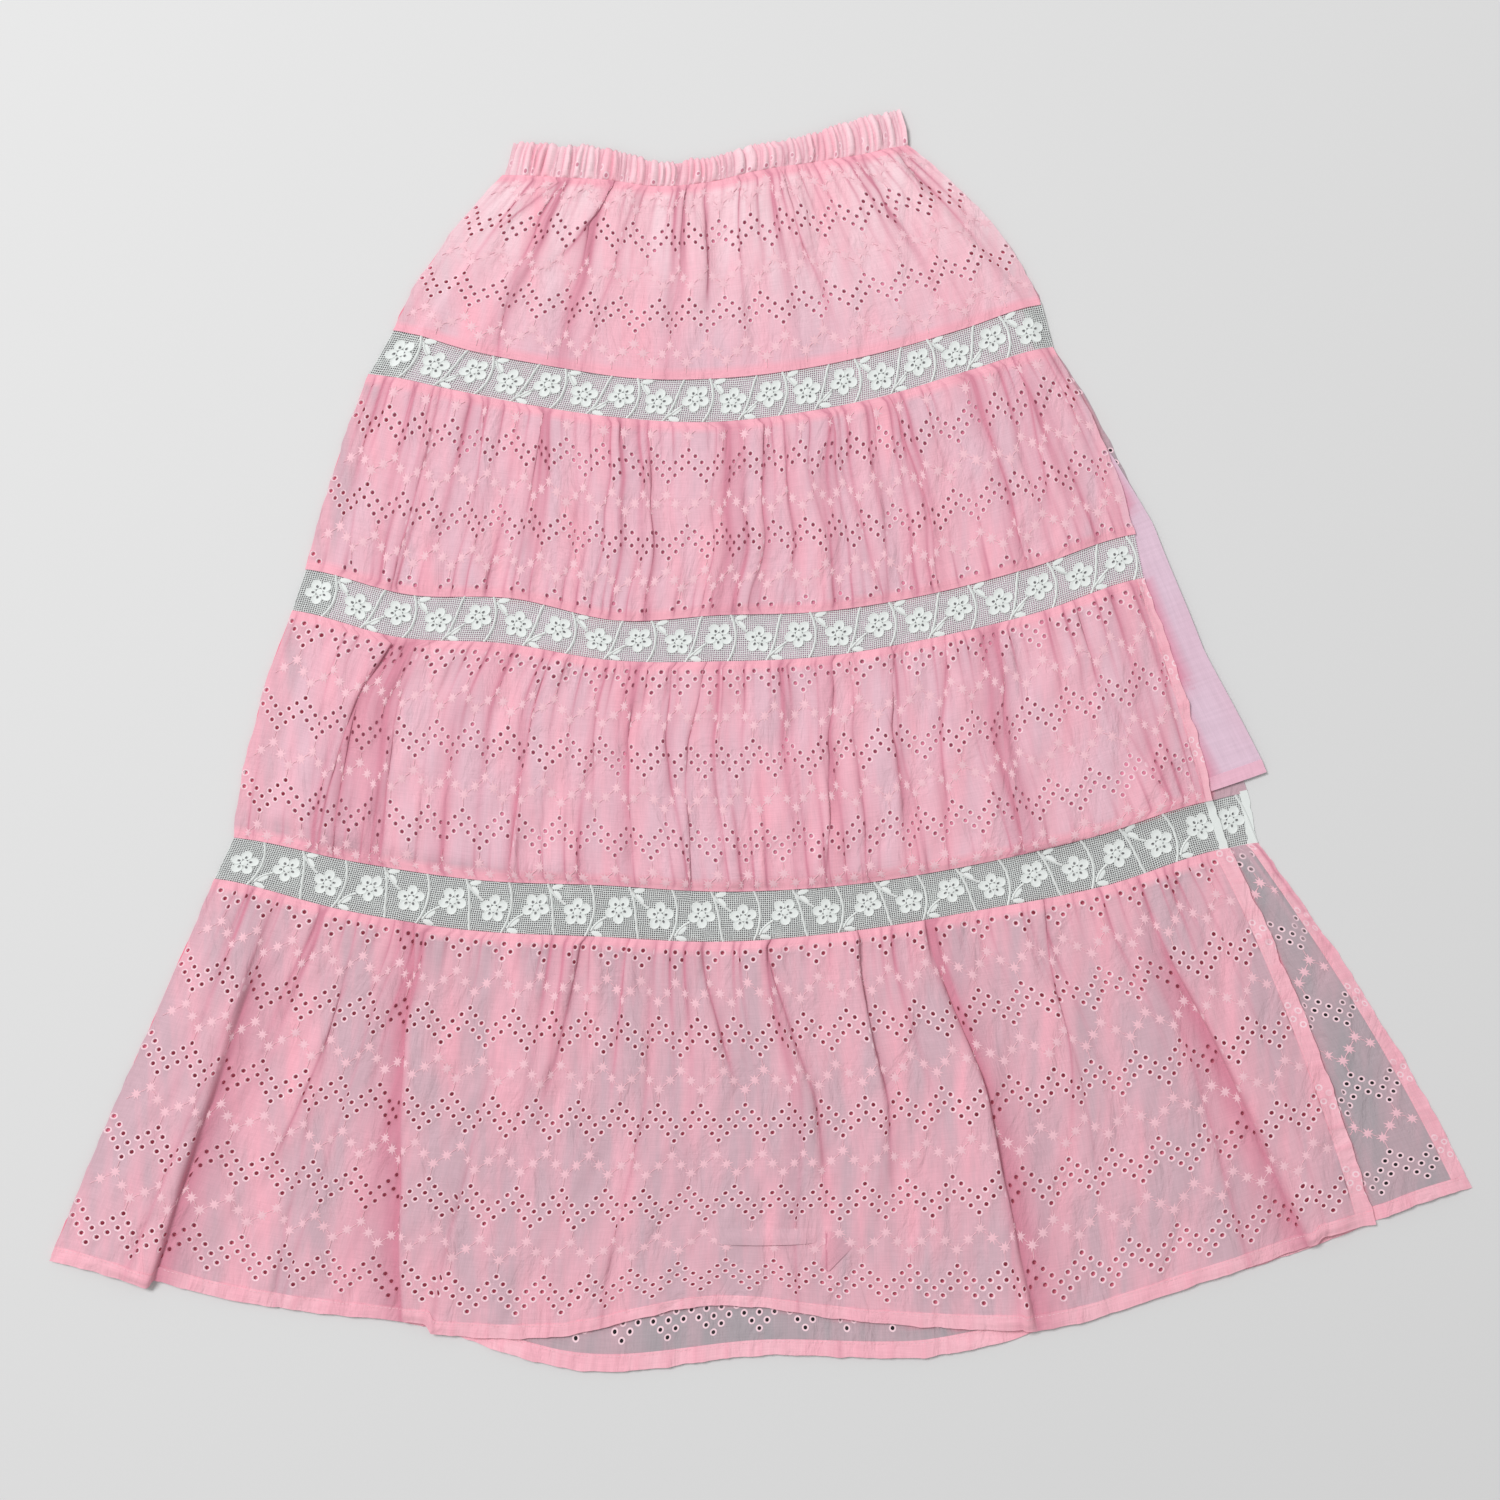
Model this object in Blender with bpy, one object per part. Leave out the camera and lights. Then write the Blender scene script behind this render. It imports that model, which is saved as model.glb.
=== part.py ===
"""A tiered ruffle skirt, laid flat and face up.

Every cloth piece is a strip between two seam lines. The front lies on the lining and the back,
and the back lies on the surface z = 0. X runs across the skirt, Y from the hem to the waist.
Sizes are in millimetres in the tables and in metres in the model.
"""

import math
from collections import namedtuple

import bmesh
import bpy

MM = 0.001
MIDDLE_Y = -0.9         # the tables' zero is moved here, to the middle of the laid skirt

# Cloth and seams
WALL = 1.2              # cloth wall
BAND_WALL = 2.2         # the waist casing is two cloths over an elastic
HEM_WALL = 1.8          # a hem is cloth turned under
LINING_WALL = 1.0
SEAM_GAP = 0.4          # between pieces that are sewn to each other
LAYER_GAP = 0.3         # between cloths that lie on each other

# Heights of the layers above the surface
BACK_Z = 0.0
LINING_BACK_Z = BACK_Z + WALL + LAYER_GAP
LINING_FRONT_Z = LINING_BACK_Z + LINING_WALL + LAYER_GAP
FRONT_Z = BACK_Z + HEM_WALL + LAYER_GAP
FRONT_BAND_Z = BACK_Z + BAND_WALL + LAYER_GAP
OVER_LINING = LINING_FRONT_Z + LINING_WALL + LAYER_GAP + 0.8 - FRONT_Z

# How the front comes down past the lining's edges
COVER_REACH = 14.0
COVER_RUN = 10.0
EDGE_RUN = 26.0         # folds and gathers fade out over this distance from a side edge

# Hems
HEM_HEIGHT = 11.5
SLIT_HEM_WIDTH = 13.0
TIER_3_SLIT_HEM_WIDTH = 9.0
LINING_HEM_HEIGHT = 10.0

STATIONS = 8            # a seam line's height is given at nine even stations, left to right

# A seam line: its left and right ends, and its height at each station
Seam = namedtuple("Seam", "left right heights")
SEAMS = {
    "waist_top": Seam(-193, 109, (465, 463, 460, 450, 453, 463, 470, 482, 490)),
    "casing": Seam(-199, 115, (440, 438, 436, 431, 434, 443, 449, 455, 463)),
    "lace_1_top": Seam(-286, 219, (319, 302, 290, 281, 281, 288, 301, 319, 339)),
    "lace_1_bottom": Seam(-305, 228, (285, 272, 259, 250, 247, 254, 267, 287, 306)),
    "lace_2_top": Seam(-354, 291, (133, 113, 110, 93, 97, 100, 113, 134, 160)),
    "lace_2_bottom": Seam(-365, 298, (101, 80, 75, 62, 61, 65, 79, 99, 126)),
    "lace_3_top": Seam(-410, 352, (-76, -95, -109, -113, -118, -113, -98, -76, -47)),
    "lace_3_bottom": Seam(-425, 365, (-108, -132, -148, -153, -157, -149, -133, -114, -84)),
    "front_hem": Seam(-555, 479, (-404, -436, -454, -464, -440, -454, -458, -420, -378)),
    "back_lace_2_top": Seam(-354, 302, (133, 113, 110, 93, 97, 100, 113, 134, 165)),
    "back_lace_2_bottom": Seam(-365, 316, (101, 80, 75, 62, 61, 65, 79, 99, 132)),
    "back_lace_3_top": Seam(-410, 380, (-76, -95, -109, -113, -118, -111, -93, -70, -41)),
    "back_lace_3_bottom": Seam(-425, 387, (-108, -133, -148, -153, -156, -147, -130, -108, -80)),
    "back_hem": Seam(-553, 555, (-402, -435, -454, -491, -479, -479, -442, -400, -349)),
}

# A strip: the seams above and below it, how far its sides bow out, and how far it puffs up
Strip = namedtuple("Strip", "top bottom bow_left bow_right loft")
STRIPS = {
    "waistband": Strip("waist_top", "casing", 0, 2, 0.6),
    "tier_1": Strip("casing", "lace_1_top", 10, 14, 5.0),
    "lace_1": Strip("lace_1_top", "lace_1_bottom", 0, 0, 0.3),
    "tier_2": Strip("lace_1_bottom", "lace_2_top", 3, 6, 4.0),
    "lace_2": Strip("lace_2_top", "lace_2_bottom", 0, 0, 0.3),
    "tier_3": Strip("lace_2_bottom", "lace_3_top", 7, 4, 4.0),
    "lace_3": Strip("lace_3_top", "lace_3_bottom", 0, 0, 0.3),
    "tier_4": Strip("lace_3_bottom", "front_hem", 0, 8, 4.0),
    "back_tier_2": Strip("lace_1_bottom", "back_lace_2_top", 3, 6, 0),
    "back_lace_2": Strip("back_lace_2_top", "back_lace_2_bottom", 0, 0, 0),
    "back_tier_3": Strip("back_lace_2_bottom", "back_lace_3_top", 7, 2, 0),
    "back_lace_3": Strip("back_lace_3_top", "back_lace_3_bottom", 0, 0, 0),
    "back_tier_4": Strip("back_lace_3_bottom", "back_hem", 0, 10, 0),
}

# Gathers: how many waves, their height, and how much of it is left at the lower seam
Gather = namedtuple("Gather", "waves height lower")
GATHERS = {
    "waistband": Gather(44, 1.5, 1.0),
    "tier_1": Gather(24, 2.4, 0.25),
    "tier_2": Gather(30, 2.6, 0.6),
    "tier_3": Gather(32, 2.8, 0.6),
    "tier_4": Gather(34, 3.0, 0.1),
}
GATHER_FADE = 0.2       # share of a tier's height over which a gather falls to a third
GATHER_START = 0.06     # share of a tier's height at which a gather is highest

# Folds: where each starts and ends across and down its strip, its half width and height,
# and its lean, from -1 (steep on the left) to 1 (steep on the right)
Fold = namedtuple("Fold", "strip across_from across_to down_from down_to width height lean")
FOLDS = [
    Fold("tier_1", 0.26, 0.18, 0.00, 0.55, 9, 4.0, 0.4),
    Fold("tier_1", 0.10, 0.05, 0.00, 0.35, 9, 3.0, 0.3),
    Fold("tier_1", 0.50, 0.49, 0.05, 0.70, 8, 3.5, 0.4),
    Fold("tier_1", 0.70, 0.69, 0.00, 0.60, 8, 4.0, -0.4),
    Fold("tier_1", 0.84, 0.80, 0.00, 0.40, 16, 4.5, 0.0),
    Fold("tier_1", 0.94, 0.92, 0.00, 0.30, 8, 3.0, 0.4),
    Fold("tier_2", 0.39, 0.40, 0.10, 1.00, 8, 4.0, 0.5),
    Fold("tier_2", 0.58, 0.58, 0.05, 0.95, 7, 3.5, 0.5),
    Fold("tier_2", 0.76, 0.78, 0.00, 0.90, 8, 4.0, -0.5),
    Fold("tier_2", 0.94, 0.92, 0.00, 0.90, 8, 3.5, -0.4),
    Fold("tier_3", 0.08, 0.07, 0.05, 0.95, 10, 4.0, 0.4),
    Fold("tier_3", 0.32, 0.30, 0.00, 1.00, 9, 4.5, -0.4),
    Fold("tier_3", 0.44, 0.45, 0.00, 0.75, 8, 3.0, 0.3),
    Fold("tier_3", 0.48, 0.46, 0.00, 1.00, 7, 3.5, 0.4),
    Fold("tier_3", 0.63, 0.60, 0.00, 1.00, 8, 3.5, 0.3),
    Fold("tier_3", 0.70, 0.69, 0.00, 0.95, 9, 5.5, 0.5),
    Fold("tier_3", 0.78, 0.75, 0.00, 0.95, 12, 4.5, -0.5),
    Fold("tier_3", 0.91, 0.91, 0.00, 0.40, 8, 3.0, 0.3),
    Fold("tier_4", 0.055, 0.075, 0.05, 1.00, 26, 9.0, 0.7),
    Fold("tier_4", 0.21, 0.285, 0.00, 1.00, 17, 6.5, -0.6),
    Fold("tier_4", 0.36, 0.34, 0.00, 0.45, 9, 4.0, 0.3),
    Fold("tier_4", 0.42, 0.41, 0.00, 0.45, 9, 3.5, -0.3),
    Fold("tier_4", 0.48, 0.50, 0.00, 0.45, 9, 4.0, 0.3),
    Fold("tier_4", 0.545, 0.58, 0.00, 0.80, 13, 5.0, 0.3),
    Fold("tier_4", 0.63, 0.63, 0.00, 0.75, 10, 5.0, 0.4),
    Fold("tier_4", 0.70, 0.735, 0.00, 1.00, 15, 6.5, 0.5),
    Fold("tier_4", 0.81, 0.77, 0.00, 0.60, 14, 4.0, 0.0),
    Fold("tier_4", 0.915, 0.955, 0.05, 1.00, 24, 8.0, -0.7),
    Fold("tier_4", 0.50, 0.58, 0.78, 0.92, 30, 5.0, 0.0),
]

# The lining's levels: its ends and how far it sags between them
Level = namedtuple("Level", "left_x left_y right_x right_y sag")
LINING_LEVELS = [
    Level(-176, 427, 99, 449, 18),
    Level(-258, 319, 203, 336, 46),
    Level(-277, 285, 213, 303, 48),
    Level(-303, 205, 275, 220, 52),
    Level(-326, 133, 306, 168, 56),
    Level(-350, 45, 345, 70, 60),
    Level(-371, -46, 390, -15, 62),
    Level(-373, -56, 394, -25, 62),
]

# Rows of each grid, as shares of the strip's height
BAND_ROWS = (0.0, 0.5, 1.0)
TIER_1_ROWS = (0.0, 0.09, 0.22, 0.42, 0.70, 1.0)
TIER_2_ROWS = (0.0, 0.06, 0.16, 0.40, 0.68, 0.90, 1.0)
TIER_3_ROWS = (0.0, 0.05, 0.14, 0.32, 0.55, 0.80, 0.95, 1.0)
TIER_4_ROWS = (0.0, 0.05, 0.13, 0.28, 0.50, 0.76, 1.0)
BACK_TIER_ROWS = (0.0, 0.35, 0.70, 1.0)
SINGLE_ROW = (0.0, 1.0)

# Columns of each grid
HEM_COLUMNS = 40
LACE_COLUMNS = 40
BACK_COLUMNS = 28
LINING_COLUMNS = 12
COLUMNS_PER_WAVE = 3
BAND_COLUMNS_PER_WAVE = 2
WAVE_SHAPE = (0.0, 1.0, 0.45)
BAND_WAVE_SHAPE = (0.0, 1.0)

# Cloths: colour, roughness
CLOTHS = {
    "eyelet_voile": ((0.83, 0.46, 0.54), 0.85),
    "turned_voile": ((0.90, 0.50, 0.58), 0.85),
    "single_voile": ((0.62, 0.43, 0.48), 0.85),
    "net_lace": ((0.80, 0.82, 0.81), 0.90),
    "lining_voile": ((0.74, 0.55, 0.66), 0.80),
}


def mix(low, high, share):
    return low + (high - low) * share


def smooth_step(value):
    value = min(max(value, 0.0), 1.0)
    return value * value * (3.0 - 2.0 * value)


def seam_height(heights, across):
    """Height of a seam line, read from a smooth curve through its stations."""
    place = min(max(across, 0.0), 1.0) * STATIONS
    index = min(int(place), STATIONS - 1)
    share = place - index
    before = heights[max(index - 1, 0)]
    start = heights[index]
    end = heights[index + 1]
    after = heights[min(index + 2, STATIONS)]
    slope_in = (end - before) / 2.0
    slope_out = (after - start) / 2.0
    cube = share ** 3
    square = share ** 2
    return (
        (2 * cube - 3 * square + 1) * start
        + (cube - 2 * square + share) * slope_in
        + (3 * square - 2 * cube) * end
        + (cube - square) * slope_out
    )


def seam_point(name, across):
    seam = SEAMS[name]
    return mix(seam.left, seam.right, across), seam_height(seam.heights, across)


def strip_point(strip, across, down):
    """A point of a strip, from its left side to its right and from its top seam to its bottom."""
    top_x, top_y = seam_point(strip.top, across)
    bottom_x, bottom_y = seam_point(strip.bottom, across)
    bow = strip.bow_right * across - strip.bow_left * (1.0 - across)
    x = mix(top_x, bottom_x, down) + bow * 4.0 * down * (1.0 - down)
    return x, mix(top_y, bottom_y, down)


def strip_size(strip):
    """Mean width and height of a strip."""
    top, bottom = SEAMS[strip.top], SEAMS[strip.bottom]
    width = (top.right - top.left + bottom.right - bottom.left) / 2.0
    _, top_y = seam_point(strip.top, 0.5)
    _, bottom_y = seam_point(strip.bottom, 0.5)
    return width, top_y - bottom_y


def lining_point(across, down):
    """A point of the lining: down is 0 at its top level and 1 at its hem."""
    place = down * (len(LINING_LEVELS) - 1)
    index = min(int(place), len(LINING_LEVELS) - 2)
    share = place - index
    upper, lower = LINING_LEVELS[index], LINING_LEVELS[index + 1]
    left_x = mix(upper.left_x, lower.left_x, share)
    right_x = mix(upper.right_x, lower.right_x, share)
    left_y = mix(upper.left_y, lower.left_y, share)
    right_y = mix(upper.right_y, lower.right_y, share)
    sag = mix(upper.sag, lower.sag, share)
    y = mix(left_y, right_y, across) - sag * 4.0 * across * (1.0 - across)
    return mix(left_x, right_x, across), y


def level_between(y, side_x, side_y):
    """The lining's side edge at a height, read between its levels."""
    for upper, lower in zip(LINING_LEVELS, LINING_LEVELS[1:]):
        high, low = getattr(upper, side_y), getattr(lower, side_y)
        if y >= low:
            share = min(max((high - y) / (high - low), 0.0), 1.0)
            return mix(getattr(upper, side_x), getattr(lower, side_x), share)
    return getattr(LINING_LEVELS[-1], side_x)


def lining_cover(x, y):
    """1 where the front lies on the lining, 0 clear of it, and smooth in between."""
    left = level_between(y, "left_x", "left_y")
    right = level_between(y, "right_x", "right_y")
    across = min(max((x - left) / (right - left), 0.0), 1.0)
    _, top = lining_point(across, 0.0)
    _, bottom = lining_point(across, 1.0)
    cover = 1.0
    for inside in (x - left, right - x, top - y, y - bottom):
        cover *= smooth_step((inside + COVER_REACH) / COVER_RUN)
    return cover


def wave_strength(gather, down):
    """How strong a gather is down a strip: it starts at a seam and dies away from it."""
    upper = min(down / GATHER_START, 1.0) * math.exp(-max(down - GATHER_START, 0.0) / GATHER_FADE)
    up = 1.0 - down
    lower = min(up / GATHER_START, 1.0) * math.exp(-max(up - GATHER_START, 0.0) / GATHER_FADE)
    return 0.25 + 0.75 * max(upper, lower * gather.lower)


def gather_height(gather, shape, column, down):
    """Height of the gathers at a column of the grid; no two waves are quite alike."""
    wave = column // len(shape)
    uneven = 0.7 + 0.3 * math.sin(wave * 2.4 + 0.6)
    strength = 1.0 if gather.lower >= 1.0 else wave_strength(gather, down)
    return gather.height * shape[column % len(shape)] * uneven * strength


def fold_height(fold, width, across, down):
    """Height of one fold: a ridge that runs down its strip and may lean to one side."""
    if not fold.down_from <= down <= fold.down_to:
        return 0.0
    share = (down - fold.down_from) / (fold.down_to - fold.down_from)
    offset = (across - mix(fold.across_from, fold.across_to, share)) * width
    reach = fold.width * (1.0 + fold.lean if offset < 0.0 else 1.0 - fold.lean)
    fade_in = 1.0 if fold.down_from == 0.0 else smooth_step(share * 4.0)
    fade_out = 1.0 if fold.down_to == 1.0 else smooth_step((1.0 - share) * 3.0)
    return fold.height * math.exp(-((offset / reach) ** 2)) * fade_in * fade_out


def front_height(name, across, down, column, shape):
    """Height of the front cloth's underside."""
    strip = STRIPS[name]
    width, _ = strip_size(strip)
    x, y = strip_point(strip, across, down)
    rest = FRONT_BAND_Z if name == "waistband" else FRONT_Z + OVER_LINING * lining_cover(x, y)
    side = smooth_step(min(across, 1.0 - across) * width / EDGE_RUN)
    rise = strip.loft * math.sin(math.pi * down)
    if name in GATHERS:
        rise += gather_height(GATHERS[name], shape, column, down)
    for fold in FOLDS:
        if fold.strip == name:
            rise += fold_height(fold, width, across, down)
    return rest + rise * side


def even_columns(count):
    return [index / count for index in range(count + 1)]


def wave_columns(waves, per_wave):
    """Columns set to the gathers' waves, with the waves of uneven width."""
    count = waves * per_wave
    places = []
    for index in range(count + 1):
        drift = 0.35 * math.sin(index * 0.83) * math.sin(math.pi * index / count)
        places.append((index + drift) / count)
    return places


def cloth_material(name):
    material = bpy.data.materials.get(name)
    if material is None:
        colour, roughness = CLOTHS[name]
        material = bpy.data.materials.new(name)
        material.use_nodes = True
        shader = material.node_tree.nodes["Principled BSDF"]
        shader.inputs["Base Color"].default_value = (*colour, 1.0)
        shader.inputs["Roughness"].default_value = roughness
        shader.inputs["Metallic"].default_value = 0.0
    return material


def add_sheet(collection, name, columns, rows, place, wall, cloth):
    """One cloth piece: a grid laid out by place(), then given its wall straight up."""
    mesh_builder = bmesh.new()
    across_count, down_count = len(columns) - 1, len(rows) - 1
    bmesh.ops.create_grid(
        mesh_builder, x_segments=across_count, y_segments=down_count, size=0.5
    )
    for vert in mesh_builder.verts:
        column = round((vert.co.x + 0.5) * across_count)
        row = round((0.5 - vert.co.y) * down_count)
        x, y, z = place(columns[column], rows[row], column)
        vert.co = (x * MM, (y - MIDDLE_Y) * MM, z * MM)
    bmesh.ops.triangulate(mesh_builder, faces=mesh_builder.faces[:])
    walls = bmesh.ops.extrude_face_region(
        mesh_builder, geom=mesh_builder.faces[:], use_keep_orig=True
    )
    raised = [item for item in walls["geom"] if isinstance(item, bmesh.types.BMVert)]
    bmesh.ops.translate(mesh_builder, verts=raised, vec=(0.0, 0.0, wall * MM))
    bmesh.ops.recalc_face_normals(mesh_builder, faces=mesh_builder.faces[:])
    mesh = bpy.data.meshes.new(name)
    mesh_builder.to_mesh(mesh)
    mesh_builder.free()
    mesh.materials.append(cloth_material(cloth))
    piece = bpy.data.objects.new(name, mesh)
    collection.objects.link(piece)
    return piece


def add_strip(collection, name, strip_name, cloth, columns, rows, wall,
              across=(0.0, 1.0), down=(0.0, 1.0), shape=None, back=False):
    """A piece of the front or the back, as a part of a strip, kept clear of its neighbours."""
    strip = STRIPS[strip_name]
    width, height = strip_size(strip)
    across_from = across[0] + (SEAM_GAP / 2.0 / width if across[0] > 0.0 else 0.0)
    across_to = across[1] - (SEAM_GAP / 2.0 / width if across[1] < 1.0 else 0.0)
    down_from = down[0] + SEAM_GAP / 2.0 / height
    down_to = down[1] - SEAM_GAP / 2.0 / height

    inner = [place for place in columns if across_from < place < across_to]
    reached = [across_from] + inner + [across_to]

    def place(to_right, row_share, column):
        to_hem = mix(down_from, down_to, row_share)
        x, y = strip_point(strip, to_right, to_hem)
        if back:
            return x, y, BACK_Z
        return x, y, front_height(strip_name, to_right, to_hem, column, shape)

    return add_sheet(collection, name, reached, rows, place, wall, cloth)


def add_front(collection):
    band = GATHERS["waistband"]
    add_strip(collection, "waistband_front", "waistband", "turned_voile",
              wave_columns(band.waves, BAND_COLUMNS_PER_WAVE), BAND_ROWS, BAND_WALL,
              shape=BAND_WAVE_SHAPE)
    tier_rows = {
        "tier_1": TIER_1_ROWS,
        "tier_2": TIER_2_ROWS,
        "tier_3": TIER_3_ROWS,
        "tier_4": TIER_4_ROWS,
    }
    slit_hems = {"tier_3": TIER_3_SLIT_HEM_WIDTH, "tier_4": SLIT_HEM_WIDTH}
    for tier, rows in tier_rows.items():
        width, height = strip_size(STRIPS[tier])
        across_end = 1.0 - slit_hems.get(tier, 0.0) / width
        down_end = 1.0 - HEM_HEIGHT / height if tier == "tier_4" else 1.0
        add_strip(collection, tier + "_front", tier, "eyelet_voile",
                  wave_columns(GATHERS[tier].waves, COLUMNS_PER_WAVE), rows, WALL,
                  across=(0.0, across_end), down=(0.0, down_end), shape=WAVE_SHAPE)
        if tier in slit_hems:
            add_strip(collection, tier + "_slit_hem_front", tier, "turned_voile",
                      even_columns(1), rows, HEM_WALL,
                      across=(across_end, 1.0), down=(0.0, down_end), shape=(0.0,))
        if tier == "tier_4":
            add_strip(collection, "hem_front", tier, "turned_voile",
                      even_columns(HEM_COLUMNS), SINGLE_ROW, HEM_WALL,
                      down=(down_end, 1.0), shape=(0.0,))
    for lace in ("lace_1", "lace_2", "lace_3"):
        add_strip(collection, lace + "_front", lace, "net_lace",
                  even_columns(LACE_COLUMNS), SINGLE_ROW, WALL, shape=(0.0,))


def add_back(collection):
    slit_hem = 1.0 - SLIT_HEM_WIDTH / strip_size(STRIPS["back_tier_4"])[0]
    columns = sorted(even_columns(BACK_COLUMNS) + [slit_hem])
    add_strip(collection, "waistband_back", "waistband", "turned_voile",
              columns, SINGLE_ROW, BAND_WALL, back=True)
    back_strips = {
        "tier_1": "tier_1",
        "tier_2": "back_tier_2",
        "tier_3": "back_tier_3",
        "tier_4": "back_tier_4",
    }
    for tier, strip in back_strips.items():
        last = tier == "tier_4"
        across_end = slit_hem if last else 1.0
        down_end = 1.0 - HEM_HEIGHT / strip_size(STRIPS[strip])[1] if last else 1.0
        add_strip(collection, tier + "_back", strip, "single_voile",
                  columns, BACK_TIER_ROWS, WALL,
                  across=(0.0, across_end), down=(0.0, down_end), back=True)
        if last:
            add_strip(collection, "tier_4_slit_hem_back", strip, "turned_voile",
                      columns, BACK_TIER_ROWS, HEM_WALL,
                      across=(across_end, 1.0), down=(0.0, down_end), back=True)
            add_strip(collection, "hem_back", strip, "turned_voile",
                      columns, SINGLE_ROW, HEM_WALL,
                      down=(down_end, 1.0), back=True)
    back_laces = {"lace_1": "lace_1", "lace_2": "back_lace_2", "lace_3": "back_lace_3"}
    for lace, strip in back_laces.items():
        add_strip(collection, lace + "_back", strip, "net_lace",
                  columns, SINGLE_ROW, WALL, back=True)


def add_lining(collection):
    """The lining: two flat cloths between the back and the front, and the front one's hem."""
    last = len(LINING_LEVELS) - 1
    hem_line = (last - 1) / last
    gap = SEAM_GAP / 2.0 / LINING_HEM_HEIGHT / last

    def lay(height, down_from, down_to):
        def place(across, down, column):
            x, y = lining_point(across, mix(down_from, down_to, down))
            return x, y, height
        return place

    levels = [index / (last - 1) for index in range(last)]
    add_sheet(collection, "lining_back", even_columns(LINING_COLUMNS), levels,
              lay(LINING_BACK_Z, 0.0, hem_line), LINING_WALL, "lining_voile")
    add_sheet(collection, "lining_front", even_columns(LINING_COLUMNS), levels,
              lay(LINING_FRONT_Z, 0.0, hem_line - gap), LINING_WALL, "lining_voile")
    add_sheet(collection, "lining_hem_front", even_columns(LINING_COLUMNS), SINGLE_ROW,
              lay(LINING_FRONT_Z, hem_line + gap, 1.0), LINING_WALL, "lining_voile")


def main():
    for item in list(bpy.data.objects):
        bpy.data.objects.remove(item, do_unlink=True)
    collection = bpy.data.collections.new("ruffle_skirt")
    bpy.context.scene.collection.children.link(collection)
    add_back(collection)
    add_lining(collection)
    add_front(collection)


main()
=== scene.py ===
"""The looks of a tiered ruffle skirt of eyelet voile and lace, laid flat and face up.

Every cloth is laid out flat first, with its eyelets and its embroidery, and is then gathered into its
place on the skirt, as a maker would sew it. Tables are in millimetres, as in the part's own source.
"""

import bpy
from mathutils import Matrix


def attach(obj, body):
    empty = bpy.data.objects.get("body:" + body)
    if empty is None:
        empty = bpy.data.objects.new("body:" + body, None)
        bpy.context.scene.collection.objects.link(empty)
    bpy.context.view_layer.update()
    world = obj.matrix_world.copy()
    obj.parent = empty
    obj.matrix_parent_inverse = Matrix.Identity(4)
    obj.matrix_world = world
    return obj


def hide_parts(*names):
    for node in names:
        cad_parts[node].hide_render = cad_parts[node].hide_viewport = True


bl_info = {
    "name": "Ruffle skirt",
    "version": (1, 0, 0),
    "blender": (4, 5, 0),
    "location": "View3D > Sidebar > Skirt",
    "description": "Dresses the solids of a tiered ruffle skirt in gathered eyelet voile and lace",
    "category": "Object",
}

import math
from collections import namedtuple

import bmesh
import bpy
import numpy as np

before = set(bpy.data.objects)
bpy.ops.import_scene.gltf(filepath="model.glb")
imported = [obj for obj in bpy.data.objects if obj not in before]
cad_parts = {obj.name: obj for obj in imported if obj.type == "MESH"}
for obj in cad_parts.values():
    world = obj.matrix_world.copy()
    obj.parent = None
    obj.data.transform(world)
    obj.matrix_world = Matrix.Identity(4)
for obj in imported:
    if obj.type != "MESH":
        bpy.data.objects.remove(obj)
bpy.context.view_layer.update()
_made = {}              # the materials and the repeat's node tree, each made once

MM = 0.001
MIDDLE_Y = -0.9
PX = 0.78               # millimetres to a pixel of the photo
PHOTO_ZERO = (760.5, 740.0)     # the pixel at the tables' zero
PHOTO_MIDDLE = (750.0, 750.0)
PHOTO_WIDTH = 1500

# The laid skirt, as in the solids
FRONT_Z = 2.1           # underside of the front
OVER_LINING = 2.8       # so much higher where it lies on the lining
COVER_REACH = 14.0      # it starts to rise this far outside the lining
COVER_RUN = 10.0        # and has risen after this much
EDGE_RUN = 26.0         # it is low along its sides, and full high this far in
HEM_HEIGHT = 11.5
SLIT_HEM_WIDTH = 13.0
TIER_3_SLIT_HEM_WIDTH = 9.0
LINING_BACK_Z = 1.5
LINING_FRONT_Z = 2.8
STATIONS = 8            # spans between the stations of a seam line

# Rests of the cloths here
CLOTH_OVER_LACE = 0.5
BACK_REST = 0.12
BACK_SWELL = 0.9        # the back swells at most this much under the front
BACK_LIFT = 3.2         # and stands this far off where the front doesn't lie on it
BACK_LIFT_FROM = -90.0  # below this height, beside the front
FRONT_LOFT = 0.9
SWELL_RUN = 14.0        # the front swells in full this far from its seams

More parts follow.
